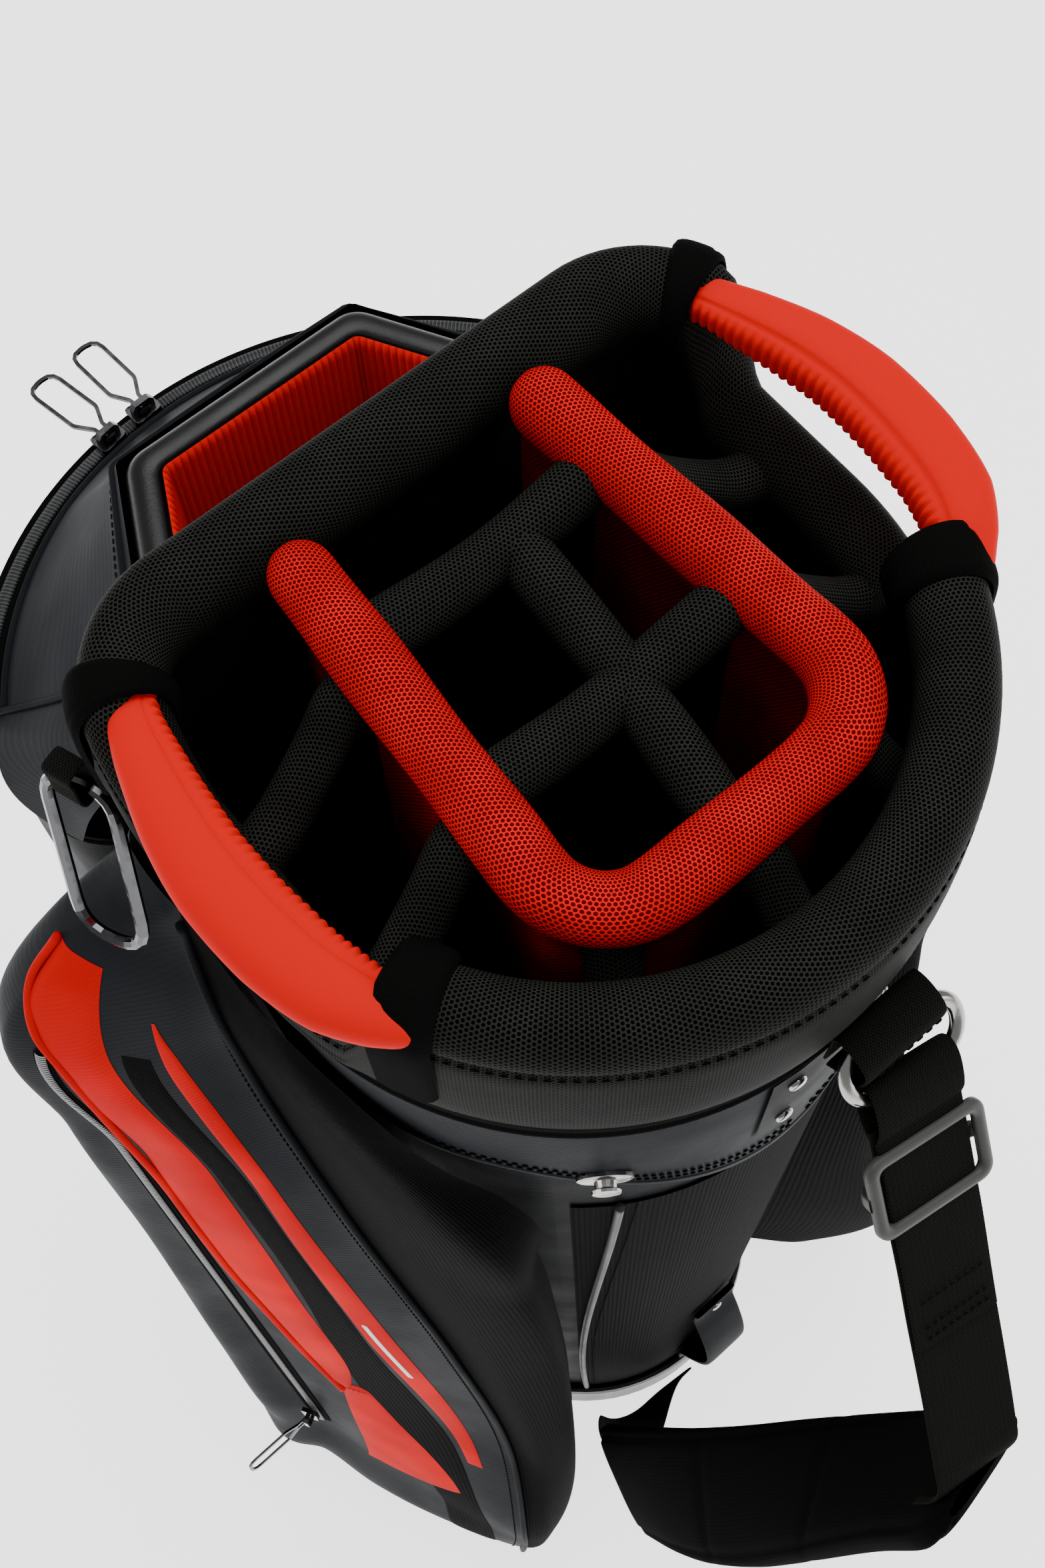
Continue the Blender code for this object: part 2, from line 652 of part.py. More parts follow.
def patch(name, surface, us, zs, low, high, colour, side=1, **look):
    """A sheet over part of a pocket face, between two offsets from it. us may differ with z."""
    outer, inner = [], []
    u, z = 6.0, (zs[0] + zs[-1]) / 2
    facing = np.cross(surface(u + 0.02, z) - surface(u - 0.02, z), surface(u, z + 1) - surface(u, z - 1))
    turn = 1 if facing @ (surface(u, z) - np.array([0, -20, z])) > 0 else -1
    for z in zs:
        row_out, row_in = [], []
        for u in (us(z) if callable(us) else us):
            p = surface(u, z)
            du = surface(u + 0.02, z) - surface(u - 0.02, z)
            dz = surface(u, min(z + 1, zs[0])) - surface(u, max(z - 1, zs[-1]))
            if high <= 0:
                dz = np.array([0, 0, 1.0])
            n = np.cross(du, dz) * turn
            n /= np.linalg.norm(n)
            for row, distance in ((row_out, high), (row_in, low)):
                q = p + n * distance
                row.append((q[0] * side, q[1], q[2]))
        outer.append(row_out)
        inner.append(row_in)
    return sheet(name, outer, inner, colour, **look)


def spread(first, last, step):
    count = max(2, int(round(abs(last - first) / step)) + 1)
    return list(np.linspace(first, last, count))


def front_pocket():
    zs = [720.0, 697, 642, 566, 481, 396, 304, 221, 151, 101, 62]
    patch("front_pocket", front_surface, spread(0, 12, 0.6), zs, -2.6, 0.0, LEATHER_BLACK, rough=0.5)
    centre, radius, z, half = ARC
    deck_out, deck_in = [], []
    for i in range(25):
        turn = math.radians(-half + 2 * half * i / 24)
        outer = np.array([(radius - 6.5) * math.sin(turn), centre - (radius - 6.5) * math.cos(turn)])
        nearest = deck_edge(i / 24)
        deck_out.append([(*nearest, 818.0), (*(nearest * 0.76 + outer * 0.24), 793.0), (*(nearest * 0.36 + outer * 0.64), 757.0), (*outer, 727.5)])
        deck_in.append([(*nearest, 815.0), (*(nearest * 0.79 + outer * 0.21), 789.8), (*(nearest * 0.40 + outer * 0.60), 754.4), (*(outer * 0.98 + nearest * 0.02), 725.1)])
    sheet("front_deck", deck_out, deck_in, LEATHER_BLACK, rough=0.5)


def deck_edge(t):
    """Point round the outside of the well rim, from its -X back corner to its +X back corner."""
    corners = np.array([(-90.0, -121.0), (-52.0, -192.6), (52.0, -192.6), (90.0, -121.0)])
    length = np.concatenate([[0], np.cumsum(np.linalg.norm(np.diff(corners, axis=0), axis=1))])
    at = t * length[-1]
    return np.array([np.interp(at, length, corners[:, 0]), np.interp(at, length, corners[:, 1])])


# ---------------------------------------------------------------- zips

def arc_zip():
    centre, radius, z, half = ARC
    path = []
    for i in range(33):
        turn = math.radians(-half + 2 * half * i / 32)
        path.append((radius * math.sin(turn), centre - radius * math.cos(turn), z + 2.4))
    solid("front_zip", sweep(path, (0, 0, 1), box_profile(3.6, 11.6, 1.0)), WEB_BLACK, rough=0.7)
    for word, degrees in (("a", 2.7), ("b", 9.4)):
        turn = math.radians(degrees)
        out = np.array([math.sin(turn), -math.cos(turn), 0.0])
        along = np.array([math.cos(turn), math.sin(turn), 0.0])
        up = np.array([0, 0, 1.0])
        base = np.array([0, centre, z + 4.6]) + out * radius
        slider_and_pull("front", word, base, along, out, up, (0, centre * MM, z * MM))


def slider_and_pull(place, word, base, along, out, up, origin, lift=0.0):
    """A zip slider with a bridge, and a long loop pull hung on it. Base is a point on the zip's face."""
    tail = place + "_slider" + ("_" + word if word else "")
    body = [base + along * a + out * b for a, b in rounded([(-6.5, -4.2), (6.5, -5.2), (6.5, 5.2), (-6.5, 4.2)], 2.0, 2)]
    rings = [[p + up * h for p in body] for h in (0.6, 3.2)]
    top = [base + along * a + out * b + up * 3.2 for a, b in rounded([(-5, -1.2), (5, -1.2), (5, 1.2), (-5, 1.2)], 0.6, 1)]
    slider = bridge(tail, rings, base, along, out, up)
    place_origin(slider, origin)
    place_origin(bpy.data.objects[tail + "_arch"], origin)
    bar = base + up * 7.8
    lift = math.radians(lift)
    turned_out = out * math.cos(lift) + up * math.sin(lift)
    turned_up = up * math.cos(lift) - out * math.sin(lift)
    pull = pull_loop(place + "_pull" + ("_" + word if word else ""), bar - turned_up * 2.4, along, turned_out, turned_up)
    place_origin(pull, bar * MM)


def bridge(name, rings, base, along, out, up):
    """Slider body with an arched bridge over it that leaves a window for the pull's pin."""
    obj = solid(name, rings, METAL_DARK, rough=0.25, metal=1.0)
    arch = []
    for a, h in ((-5.2, 2.6), (-5.2, 6.6), (-3.6, 8.6), (3.6, 8.6), (5.2, 6.6), (5.2, 2.6), (3.6, 2.6), (3.6, 6.2), (2.8, 7.0), (-2.8, 7.0), (-3.6, 6.2), (-3.6, 2.6)):
        arch.append((a, h))
    arch_rings = [[base + along * a + up * h + out * b for a, h in arch] for b in (-1.4, 1.4)]
    extra = solid(name + "_arch", arch_rings, METAL_DARK)
    extra.hide_render = True
    extra.display_type = "WIRE"
    modifier = obj.modifiers.new("join_arch", "BOOLEAN")
    modifier.operation = "UNION"
    modifier.solver = "EXACT"
    modifier.object = extra
    return obj


def pull_loop(name, pin, along, out, up):
    """Flat open loop 40 by 13 mm whose narrow end turns in the slider's window. It lies outward."""
    length, wide = 40.0, 13.0
    loop = rounded([(-2.0, -2.1), (-2.0, 2.1), (5, 2.1), (13, wide / 2), (length, wide / 2), (length, -wide / 2), (13, -wide / 2), (5, -2.1)],
                   [1.0, 1.0, 3, 5, 5.5, 5.5, 5, 3], 3)
    path = [pin + out * a + along * b for a, b in loop]
    return solid(name, closed_sweep(path, up, bar_profile(1.7, 1.3)), METAL_DARK, wrap=True, rough=0.25, metal=1.0)


def place_origin(obj, origin):
    """Moves the object's origin without moving its mesh."""
    offset = np.array([float(v) for v in origin])
    for vertex in obj.data.vertices:
        vertex.co = [c - o for c, o in zip(vertex.co, offset)]
    obj.location = offset


def side_zip(side, word):
    high, low = np.array(ZIP_HIGH), np.array(ZIP_LOW)
    zs = [664.0, 645, 600, 550, 500, 450, 400, 350, 300, 250, 210, 182]
    patch(word + "_zip", side_surface, spread(5.86, 6.14, 0.07), zs, 0.9, 2.2, WEB_BLACK, side=side, rough=0.7)
    z = 205.0
    t = (z - low[2]) / (high[2] - low[2])
    base = low + (high - low) * t
    du = side_surface(6.03, z) - side_surface(5.97, z)
    along = (high - low) / np.linalg.norm(high - low)
    normal = np.cross(du, along)
    normal /= np.linalg.norm(normal)
    if normal[0] < 0:
        normal = -normal
    across = np.cross(along, normal)
    mirror = np.array([side, 1, 1])
    base = (base + normal * 3.0) * mirror
    slider_and_pull(word, "", base, along * mirror, -across * mirror, normal * mirror, base * MM, lift=62.0)


def side_pocket(side, word):
    zs = [790.0, 780, 768, 755, 740, 715, 690, 645, 600, 550, 500, 450, 400, 350, 300, 250, 210, 170, 125, 85, 50]
    patch(word + "_pocket", side_surface, spread(3.02, 9, 0.3), zs, -2.6, 0.0, LEATHER_BLACK, side=side, rough=0.5)
    patch(word + "_gusset", side_surface, spread(0, 2.96, 0.33), zs[2:], -2.2, -0.2, WOVEN_BLACK, side=side, rough=0.85)
    red = [690.0, 645, 600, 550, 500, 450, 400, 350, 300, 250, 215]
    if side == 1:
        patch("left_red_panel", side_surface, spread(5.0, 5.78, 0.16), red, 0.8, 2.0, LEATHER_RED, rough=0.45)
        path = [side_surface(3.0, z) for z in spread(770, 84, 26)]
        lifted = []
        for z, p in zip(spread(770, 84, 26), path):
            du = side_surface(3.05, z) - side_surface(2.95, z)
            dz = side_surface(3.0, z + 1) - side_surface(3.0, z - 1)
            n = np.cross(du, dz)
            n /= np.linalg.norm(n)
            if n[0] * p[0] + n[1] * (p[1] + 20) < 0:
                n = -n
            lifted.append(p + n * 2.2)
        solid("left_piping", sweep(lifted, (0, 1, 0), round_profile(3.4, 3.4, 6)), LEATHER_BLACK, rough=0.4)
    side_zip(side, word)


# ---------------------------------------------------------------- towel ring

def towel_ring():
    """Webbing loop beside the +X handle, and the oval snap ring in it, leaning on the pocket's shoulder."""
    pin = np.array([132.6, -97.0, 824.0])
    along = np.array([-0.30, 0.954, 0.0])
    out = np.array([0.954, 0.30, 0.0])
    loop = rounded([(-3.9, 16), (-3.9, -4.6), (3.9, -4.6), (3.9, 16)], [1, 3.6, 3.6, 1], 3)
    path = [pin + out * a + np.array([0, 0, b]) for a, b in loop]
    solid("towel_loop", closed_sweep(path, along, box_profile(1.3, 11.0, 0.3)), WEB_BLACK, wrap=True, rough=0.85)
    down = np.array([18.0, 24.0, -60.0])
    down /= np.linalg.norm(down)
    wide = along - down * (along @ down)
    wide /= np.linalg.norm(wide)
    oval = rounded([(-14, -1.6), (14, -1.6), (14, 66), (-14, 66)], [10.5, 10.5, 13.5, 13.5], 5)
    path = [pin + wide * a + down * b for a, b in oval]
    normal = np.cross(wide, down)
    ring = solid("towel_ring", closed_sweep(path, normal, round_profile(4.6, 4.6)), METAL_DARK, wrap=True, rough=0.15, metal=1.0)
    place_origin(ring, (pin - down * 1.6) * MM)


# ---------------------------------------------------------------- strap

# Ring bars on the strap side: middle of the upper bar and of the lower bar.
RING_UPPER = np.array([-14.0, 119.2, 786.0])
RING_LOWER = np.array([-14.0, 132.6, 769.0])
RUN_END = np.array([2.0, 177.0, 714.0])
PAD_PATH = [
    (28.5, 241, 640), (31.5, 239, 622), (38, 231, 580), (48, 221, 530), (60, 210, 480), (73, 198, 430),
    (86, 183, 380), (96, 166, 325), (101, 152, 270), (101.5, 147, 245),
]
TAIL_PATH = [
    (101, 144, 240.0), (97, 138, 212), (86, 131, 178), (70, 126.5, 142), (52, 123.5, 112), (36, 121.5, 90), (26, 121, 80),
]


def wall_at(degrees, z, inward):
    """Point of the spine wall at an angle from +Y toward +X."""
    x, y = wall_point(z, abs(degrees) / 5.0, inward)
    return np.array([math.copysign(x, degrees) if degrees else 0.0, y, z])


def wall_sheet(name, angles, heights, low, high, colour, **look):
    outer = [[wall_at(a, z, high) for a in angles] for z in heights]
    inner = [[wall_at(a, z, low) for a in angles] for z in heights]
    return sheet(name, outer, inner, colour, **look)


def anchors():
    wall_sheet("chape_plate", spread(-22, 10, 4), (768.0, 735.0, 702.0), 5.1, 3.7, LEATHER_BLACK, rough=0.5)
    wall_sheet("spine_panel", spread(-42, 42, 6), (652.0, 520, 400, 280, 160, 56), 7.7, 6.7, WOVEN_BLACK, rough=0.8)
    loop = rounded([(111.9, 776), (111.9, 794.8), (121, 795.2), (127.4, 790), (126.8, 779.5), (120, 776)], [1, 2, 3, 3, 3, 2], 3)
    path = [(-14.0, a, b) for a, b in loop]
    solid("chape", closed_sweep(path, (1, 0, 0), box_profile(1.5, 35.4, 0.3)), WEB_BLACK, wrap=True, rough=0.85)
    path = [(-4, 110.9, 66), (-4, 110.9, 82), (-4, 119, 104), (-4, 127, 130), (-4, 130, 155), (-4, 127, 180), (-4, 119, 206), (-4, 110.9, 228), (-4, 110.9, 244)]
    solid("grab_handle", sweep(path, (1, 0, 0), box_profile(30, 3.6, 1.2)), LEATHER_BLACK, rough=0.5)
    stud()


def stud():
    """Rain-hood stud: a snap cap on an oval base, on the yoke."""
    foot = wall_at(36.0, 718.0, 5.0)
    out = np.array([math.sin(math.radians(36)), math.cos(math.radians(36)), 0.0])
    along = np.array([math.cos(math.radians(36)), -math.sin(math.radians(36)), 0.0])
    rings = []
    for lift, wide, tall in ((0, 10, 6.5), (1.5, 10, 6.5), (2.0, 9, 5.6), (2.2, 4.0, 4.0), (4.6, 3.6, 3.6), (5.4, 5.2, 5.2), (6.4, 5.0, 5.0), (6.8, 3.0, 3.0)):
        ring = []
        for k in range(16):
            a = 2 * math.pi * k / 16
            ring.append(foot + out * lift + along * wide * math.cos(a) + np.array([0, 0, tall * math.sin(a)]))
        rings.append(ring)
    solid("rain_stud", rings, METAL_GREY, rough=0.2, metal=1.0)


def strap():
    """Oval ring, webbing, slider, foam pad and lower webbing, built as they hang from the spine."""
    anchors()
    wide = np.array([1.0, 0, 0])
    run = RUN_END - RING_LOWER
    length = np.linalg.norm(run)
    run /= length
    across = wide - run * run[0]
    across /= np.linalg.norm(across)
    over = np.cross(across, run)
    if over[1] < 0:
        over = -over
    fall = RING_LOWER - RING_UPPER
    height = np.linalg.norm(fall)
    fall -= across * (across @ fall)
    fall /= np.linalg.norm(fall)
    oval = rounded([(-23, 0), (23, 0), (23, -height), (-23, -height)], [10.2] * 4, 6)
    path = [RING_LOWER + across * a + fall * b for a, b in oval]
    solid("strap_ring", closed_sweep(path, np.cross(across, fall), round_profile(5.6, 4.6)), METAL_GREY, wrap=True, rough=0.25, metal=1.0)
    start = RING_LOWER
    loop = rounded([(-4.8, -4.5), (-4.8, 4.5), (17.5, 2.4), (17.5, -2.4)], [3.9, 3.9, 2.0, 2.0], 4)
    path = [start + run * a + over * b for a, b in loop]
    solid("strap_loop", closed_sweep(path, across, box_profile(1.4, 36.0, 0.3)), WEB_BLACK, wrap=True, rough=0.85)
    path = [start + run * t for t in (19.0, 30, 45, length)] + [(7, 190, 697), (13, 205, 680), (19, 219, 665), (24.5, 231, 652.5), (27, 236.5, 646.5)]
    solid("strap_webbing", sweep(path, across, box_profile(38, 1.6, 0.4)), WEB_BLACK, rough=0.85)
    tri_glide(start + run * 37.0, run, across, over)
    turned = []
    for i in range(len(PAD_PATH)):
        a = math.radians(8 + 67 * smooth(i / (len(PAD_PATH) - 1)))
        turned.append((math.cos(a), math.sin(a), 0.0))
    shape = []
    for k, ring in enumerate(sweep(PAD_PATH, turned, [(a, b) for a, b in round_box(31, 6.5)])):
        centre = np.mean(ring, axis=0)
        size = (0.80, 0.94, 1, 1, 1, 1, 1, 1, 0.94, 0.78)[k]
        shape.append([centre + (np.array(p) - centre) * size for p in ring])
    solid("shoulder_pad", shape, WOVEN_BLACK, rough=0.9)
    turned = []
    for i in range(len(TAIL_PATH)):
        t = smooth(i / (len(TAIL_PATH) - 1))
        turned.append(np.array([0.26, 0.96, 0]) * (1 - t) + np.array([-0.1, 0.1, 1]) * t)
    solid("strap_tail", sweep(TAIL_PATH, turned, box_profile(38, 1.6, 0.4)), WEB_BLACK, rough=0.85)


def round_box(half, thick):
    return [
        (-half, 0), (-half + 1.6, -thick * 0.7), (-half + 6, -thick), (0, -thick), (half - 6, -thick), (half - 1.6, -thick * 0.7),
        (half, 0), (half - 1.6, thick * 0.7), (half - 6, thick), (0, thick), (-half + 6, thick), (-half + 1.6, thick * 0.7),
    ]


def tri_glide(centre, run, across, over):
    """Stepped slider: end bars over the webbing, middle bar under it, so that it slides on a straight run."""
    outer = rounded([(-25, -16.5), (25, -16.5), (25, 16.5), (-25, 16.5)], 5, 4)
    window = rounded([(-20.5, -12), (20.5, -12), (20.5, 12), (-20.5, 12)], 2.5, 4)
    def place(loop, h):
        return [centre + across * a + run * b + over * h for a, b in loop]
    rings = [place(outer, 1.3), place(outer * 0.99, 4.4), place(window, 4.4), place(window, 1.3)]
    frame = solid("tri_glide", rings, PLASTIC_GREY, wrap=True, rough=0.5)
    rail = []
    for a, h in ((-24.4, 2.4), (-24.4, -4.2), (24.4, -4.2), (24.4, 2.4), (20.9, 2.4), (20.9, -1.3), (-20.9, -1.3), (-20.9, 2.4)):
        rail.append((a, h))
    sections = [[centre + across * a + run * b + over * h for a, h in rail] for b in (-2.6, 2.6)]
    extra = solid("cut_tri_glide_bar", sections, PLASTIC_GREY)
    extra.hide_render = True
    extra.display_type = "WIRE"
    modifier = frame.modifiers.new("join_bar", "BOOLEAN")
    modifier.operation = "UNION"
    modifier.solver = "EXACT"
    modifier.object = extra
    place_origin(frame, centre * MM)
    place_origin(extra, centre * MM)


def hang_strap():
    """The strap's pieces turn together about the line from the chape to the lower end of the webbing."""
    for name in ("strap_ring", "strap_loop", "strap_webbing", "shoulder_pad", "strap_tail"):
        place_origin(bpy.data.objects[name], RING_UPPER * MM)


# ---------------------------------------------------------------- build

def clear():
    for obj in list(bpy.data.objects):
        bpy.data.objects.remove(obj, do_unlink=True)


clear()
base_and_tube()
collar_piece = collar()
yoke()
handles(collar_piece)
dividers()
well()
front_pocket()
arc_zip()
side_pocket(1, "left")
side_pocket(-1, "right")
towel_ring()
strap()
hang_strap()
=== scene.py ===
"""Looks of a cart golf bag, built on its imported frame.

Metres and +Z up in the frame; lengths in the pieces' own tables are millimetres. -Y is the
putter-well side, +Y the spine with the strap, +X the pocket with the red panels.
"""
import math

import bpy
import numpy as np
from mathutils import Matrix, Vector


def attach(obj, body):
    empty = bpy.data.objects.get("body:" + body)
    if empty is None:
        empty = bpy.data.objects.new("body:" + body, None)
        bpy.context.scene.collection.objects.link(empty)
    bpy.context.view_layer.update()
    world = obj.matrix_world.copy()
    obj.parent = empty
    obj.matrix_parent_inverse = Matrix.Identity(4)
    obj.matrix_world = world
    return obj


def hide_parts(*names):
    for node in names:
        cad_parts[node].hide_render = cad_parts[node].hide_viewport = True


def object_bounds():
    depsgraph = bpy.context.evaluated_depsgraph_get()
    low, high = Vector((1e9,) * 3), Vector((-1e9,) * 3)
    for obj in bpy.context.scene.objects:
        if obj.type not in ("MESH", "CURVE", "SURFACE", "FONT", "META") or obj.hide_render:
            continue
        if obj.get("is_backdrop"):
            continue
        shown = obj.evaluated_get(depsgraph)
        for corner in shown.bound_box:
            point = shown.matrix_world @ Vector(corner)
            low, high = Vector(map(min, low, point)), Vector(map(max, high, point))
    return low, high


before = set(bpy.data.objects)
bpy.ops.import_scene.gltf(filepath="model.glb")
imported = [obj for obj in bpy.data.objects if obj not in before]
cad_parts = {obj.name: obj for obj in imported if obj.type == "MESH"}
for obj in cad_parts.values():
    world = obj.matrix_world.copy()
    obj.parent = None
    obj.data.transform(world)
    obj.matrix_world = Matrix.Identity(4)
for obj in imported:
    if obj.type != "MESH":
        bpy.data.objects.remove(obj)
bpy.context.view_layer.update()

MM = 0.001

# ---------------------------------------------------------------- camera, light and floor
# The camera stands above the spine's +X side and looks steeply down into the divided top.
# The lights are large and soft, and the floor is plain and pale.
LENS_MM = 41.22
CAMERA_TURNS = (142.2, 65.3, -3.09)
CAMERA_AT = (0.16997, 0.17819, 1.32994)


def aimed_camera():
    azimuth, elevation, roll = (math.radians(v) for v in CAMERA_TURNS)
    back = np.array([
        math.sin(azimuth) * math.cos(elevation), -math.cos(azimuth) * math.cos(elevation), math.sin(elevation),
    ])
    right = np.cross(-back, (0, 0, 1.0))
    right /= np.linalg.norm(right)
    up = np.cross(right, -back)
    across = math.cos(roll) * right + math.sin(roll) * up
    upward = math.cos(roll) * up - math.sin(roll) * right
    data = bpy.data.cameras.new("camera")
    data.sensor_fit = "VERTICAL"
    data.sensor_height = 36
    data.lens = LENS_MM
    data.clip_start = 0.01
    camera = bpy.data.objects.new("camera", data)
    bpy.context.scene.collection.objects.link(camera)
    rows = [[across[i], upward[i], back[i], CAMERA_AT[i]] for i in range(3)]
    camera.matrix_world = Matrix(rows + [[0, 0, 0, 1]])
    bpy.context.scene.camera = camera


def soft_light(name, at, size, watts, aim=(0, 0, 0.6)):
    data = bpy.data.lights.new(name, "AREA")
    data.shape = "SQUARE"
    data.size = size
    data.energy = watts
    lamp = bpy.data.objects.new(name, data)
    bpy.context.scene.collection.objects.link(lamp)
    lamp.location = at
    lamp.rotation_euler = (Vector(at) - Vector(aim)).to_track_quat("Z", "Y").to_euler()


aimed_camera()
soft_light("overhead", (-0.5, -0.4, 3.0), 2.0, 60)
soft_light("left_bank", (2.6, -1.6, 1.9), 1.4, 22)
soft_light("right_bank", (-1.6, 2.4, 1.6), 1.4, 22)
world = bpy.data.worlds.new("studio")
world.use_nodes = True
world.node_tree.nodes["Background"].inputs["Color"].default_value = (1, 1, 1, 1)
world.node_tree.nodes["Background"].inputs["Strength"].default_value = 0.42
bpy.context.scene.world = world

floor_mesh = bpy.data.meshes.new("floor")
floor_mesh.from_pydata([(-6, -6, -0.0005), (6, -6, -0.0005), (6, 6, -0.0005), (-6, 6, -0.0005)], [], [(0, 1, 2, 3)])
floor = bpy.data.objects.new("floor", floor_mesh)
bpy.context.scene.collection.objects.link(floor)
floor_look = bpy.data.materials.new("pale_floor")
floor_look.use_nodes = True
floor_look.node_tree.nodes["Principled BSDF"].inputs["Base Color"].default_value = (0.93, 0.93, 0.93, 1)
floor_look.node_tree.nodes["Principled BSDF"].inputs["Roughness"].default_value = 0.9
floor_look.node_tree.nodes["Principled BSDF"].inputs["Emission Color"].default_value = (1, 1, 1, 1)
floor_look.node_tree.nodes["Principled BSDF"].inputs["Emission Strength"].default_value = 1.9
floor_mesh.materials.append(floor_look)
floor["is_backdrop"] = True


# ---------------------------------------------------------------- materials
# Wire is a shader socket that takes part in plain arithmetic; Look builds one material from wires.
class Wire:
    def __init__(self, look, socket):
        self.look, self.socket = look, socket

    def maths(self, operation, *others):
        return self.look.node("ShaderNodeMath", self, *others, operation=operation)

    def __add__(self, other):
        return self.maths("ADD", other)

    def __sub__(self, other):
        return self.maths("SUBTRACT", other)

    def __mul__(self, other):
        return self.maths("MULTIPLY", other)

    def wave(self, pitch, phase=0.0):
        """Sine of this length over a pitch, from -1 to 1."""
        return (self * (2 * math.pi / pitch) + phase).maths("SINE")

    def step(self, low, high):
        """Smooth step from 0 at low to 1 at high."""
        return self.look.node(
            "ShaderNodeMapRange", self, low, high, 0.0, 1.0, interpolation_type="SMOOTHSTEP")


class Look:
    def __init__(self, name, colour, rough, metal=0.0, coat=0.0, sheen=0.0, specular=0.5):
        self.material = bpy.data.materials.new(name)
        self.material.use_nodes = True
        self.tree = self.material.node_tree
        self.surface = self.tree.nodes["Principled BSDF"].inputs
        for socket, value in (
            ("Base Color", (*colour, 1)), ("Roughness", rough), ("Metallic", metal), ("Coat Weight", coat),
            ("Sheen Weight", sheen), ("Specular IOR Level", specular),
        ):
            self.surface[socket].default_value = value
        self.surface["IOR"].default_value = 1.12 if specular < 0.2 else 1.45

    def node(self, kind, *inputs, out=0, **settings):
        made = self.tree.nodes.new(kind)
        for key, value in settings.items():
            setattr(made, key, value)
        for target, value in zip(made.inputs, inputs):
            if isinstance(value, Wire):
                self.tree.links.new(value.socket, target)
            elif value is not None:
                target.default_value = value
        return Wire(self, made.outputs[out])

    def lengths(self):
        """The piece's own u and v, in metres."""
        split = self.node("ShaderNodeSeparateXYZ", self.node("ShaderNodeUVMap", uv_map="lengths"))
        return split, Wire(self, split.socket.node.outputs[1])

    def place(self):
        return self.node("ShaderNodeTexCoord", out=3)

    def noise(self, scale, detail=2.0):
        return self.node("ShaderNodeTexNoise", self.place(), None, scale, detail)

    def mix(self, amount, first, second):
        made = self.tree.nodes.new("ShaderNodeMix")
        made.data_type = "RGBA"
        self.tree.links.new(amount.socket, made.inputs[0])
        for target, value in ((made.inputs[6], first), (made.inputs[7], second)):
            if isinstance(value, Wire):
                self.tree.links.new(value.socket, target)
            else:
                target.default_value = (*value, 1)
        return Wire(self, made.outputs[2])

    def feed(self, socket, wire):
        self.tree.links.new(wire.socket, self.surface[socket])

    def bump(self, height, depth, strength=1.0):
        made = self.tree.nodes.new("ShaderNodeBump")
        made.inputs["Strength"].default_value = strength
        made.inputs["Distance"].default_value = depth
        self.tree.links.new(height.socket, made.inputs["Height"])
        self.feed("Normal", Wire(self, made.outputs[0]))
        return self.material


def air_mesh(name, hole, strand, pitch=0.00135, depth=0.0006):
    """Hexagonal spacer mesh: raised strands round dark holes, in the piece's own lengths. The dark holes are painted
    shade in the openings; the strand colour is partly painted highlight.
    """
    look = Look(name, strand, 0.55, specular=0.14)
    u, v = look.lengths()
    slanted = v * 0.866
    net = u.wave(pitch, 1.57) + (u * 0.5 + slanted).wave(pitch, 1.57) + (slanted - u * 0.5).wave(pitch, 1.57)
    web = net.step(0.9, -0.7)
    patchy = look.noise(60).step(0.3, 0.75)
    bright = tuple(min(1.0, c * 1.3) for c in strand)
    # Painted shade and highlight: holes near-black and strands lighter, following the bump height of a one-colour
    # mesh.
    look.feed("Base Color", look.mix(web, hole, look.mix(patchy, strand, bright)))
    return look.bump(web, depth)


def leatherette(name, colour, rough=0.4, ridge=0.0019, pebble=1400.0):
    """Coated cloth: a fine pebble, faint embossed ridges that wander, and a soft change of gloss."""
    look = Look(name, colour, rough, specular=0.11)
    place = look.place()
    split = look.node("ShaderNodeSeparateXYZ", place)
    x, y, z = split, Wire(look, split.socket.node.outputs[1]), Wire(look, split.socket.node.outputs[2])
    drift = look.noise(9, 1.0) * 0.03
    ridges = (z * 0.92 + x * 0.38 - y * 0.3 + drift).wave(ridge)
    grain = look.node("ShaderNodeTexVoronoi", place, None, pebble)
    look.feed("Roughness", look.noise(26, 3.0).step(0.2, 0.8) * 0.14 + (rough - 0.07))
    light = tuple(min(1.0, c * 1.4) for c in colour)
    look.feed("Base Color", look.mix(look.noise(14, 2.0).step(0.35, 0.75), colour, light))
    return look.bump(ridges * 0.2 + grain * 0.5, 0.00018, 0.7)


def woven(name, colour, along=0.0011, across=0.0017, rough=0.75, light=2.2, depth=0.00035):
    """Plain woven tape: threads over and under in the piece's own lengths, the raised threads painted lighter as a
    painted highlight.
    """
    look = Look(name, colour, rough, specular=0.12)
    u, v = look.lengths()
    over = u.wave(along) * v.wave(across)
    thread = over * 0.5 + 0.5
    bright = tuple(min(1.0, c * light * 1.6) for c in colour)
    # Painted highlight: raised threads lighter and threads beneath darker, in a tape of one thread colour.
    look.feed("Base Color", look.mix(thread, colour, bright))
    return look.bump(thread + u.wave(along * 2) * 0.2, depth)


def ribbed_cloth(name, colour, pitch=0.0021, depth=0.0004):
    """Ribbed polyester: fine cords down the cloth with a small weave between them; the cord crests are painted
    lighter as a painted highlight.
    """
    look = Look(name, colour, 0.7, specular=0.14)
    u, v = look.lengths()
    cord = u.wave(pitch) * 0.5 + 0.5
    weave = v.wave(0.0012) * u.wave(0.0012) * 0.25
    bright = tuple(min(1.0, c * 4.5) for c in colour)
    # Painted highlight: cord crests lighter than the grooves, in a cloth of one colour.
    look.feed("Base Color", look.mix(cord, colour, bright))
    return look.bump(cord + weave, depth)


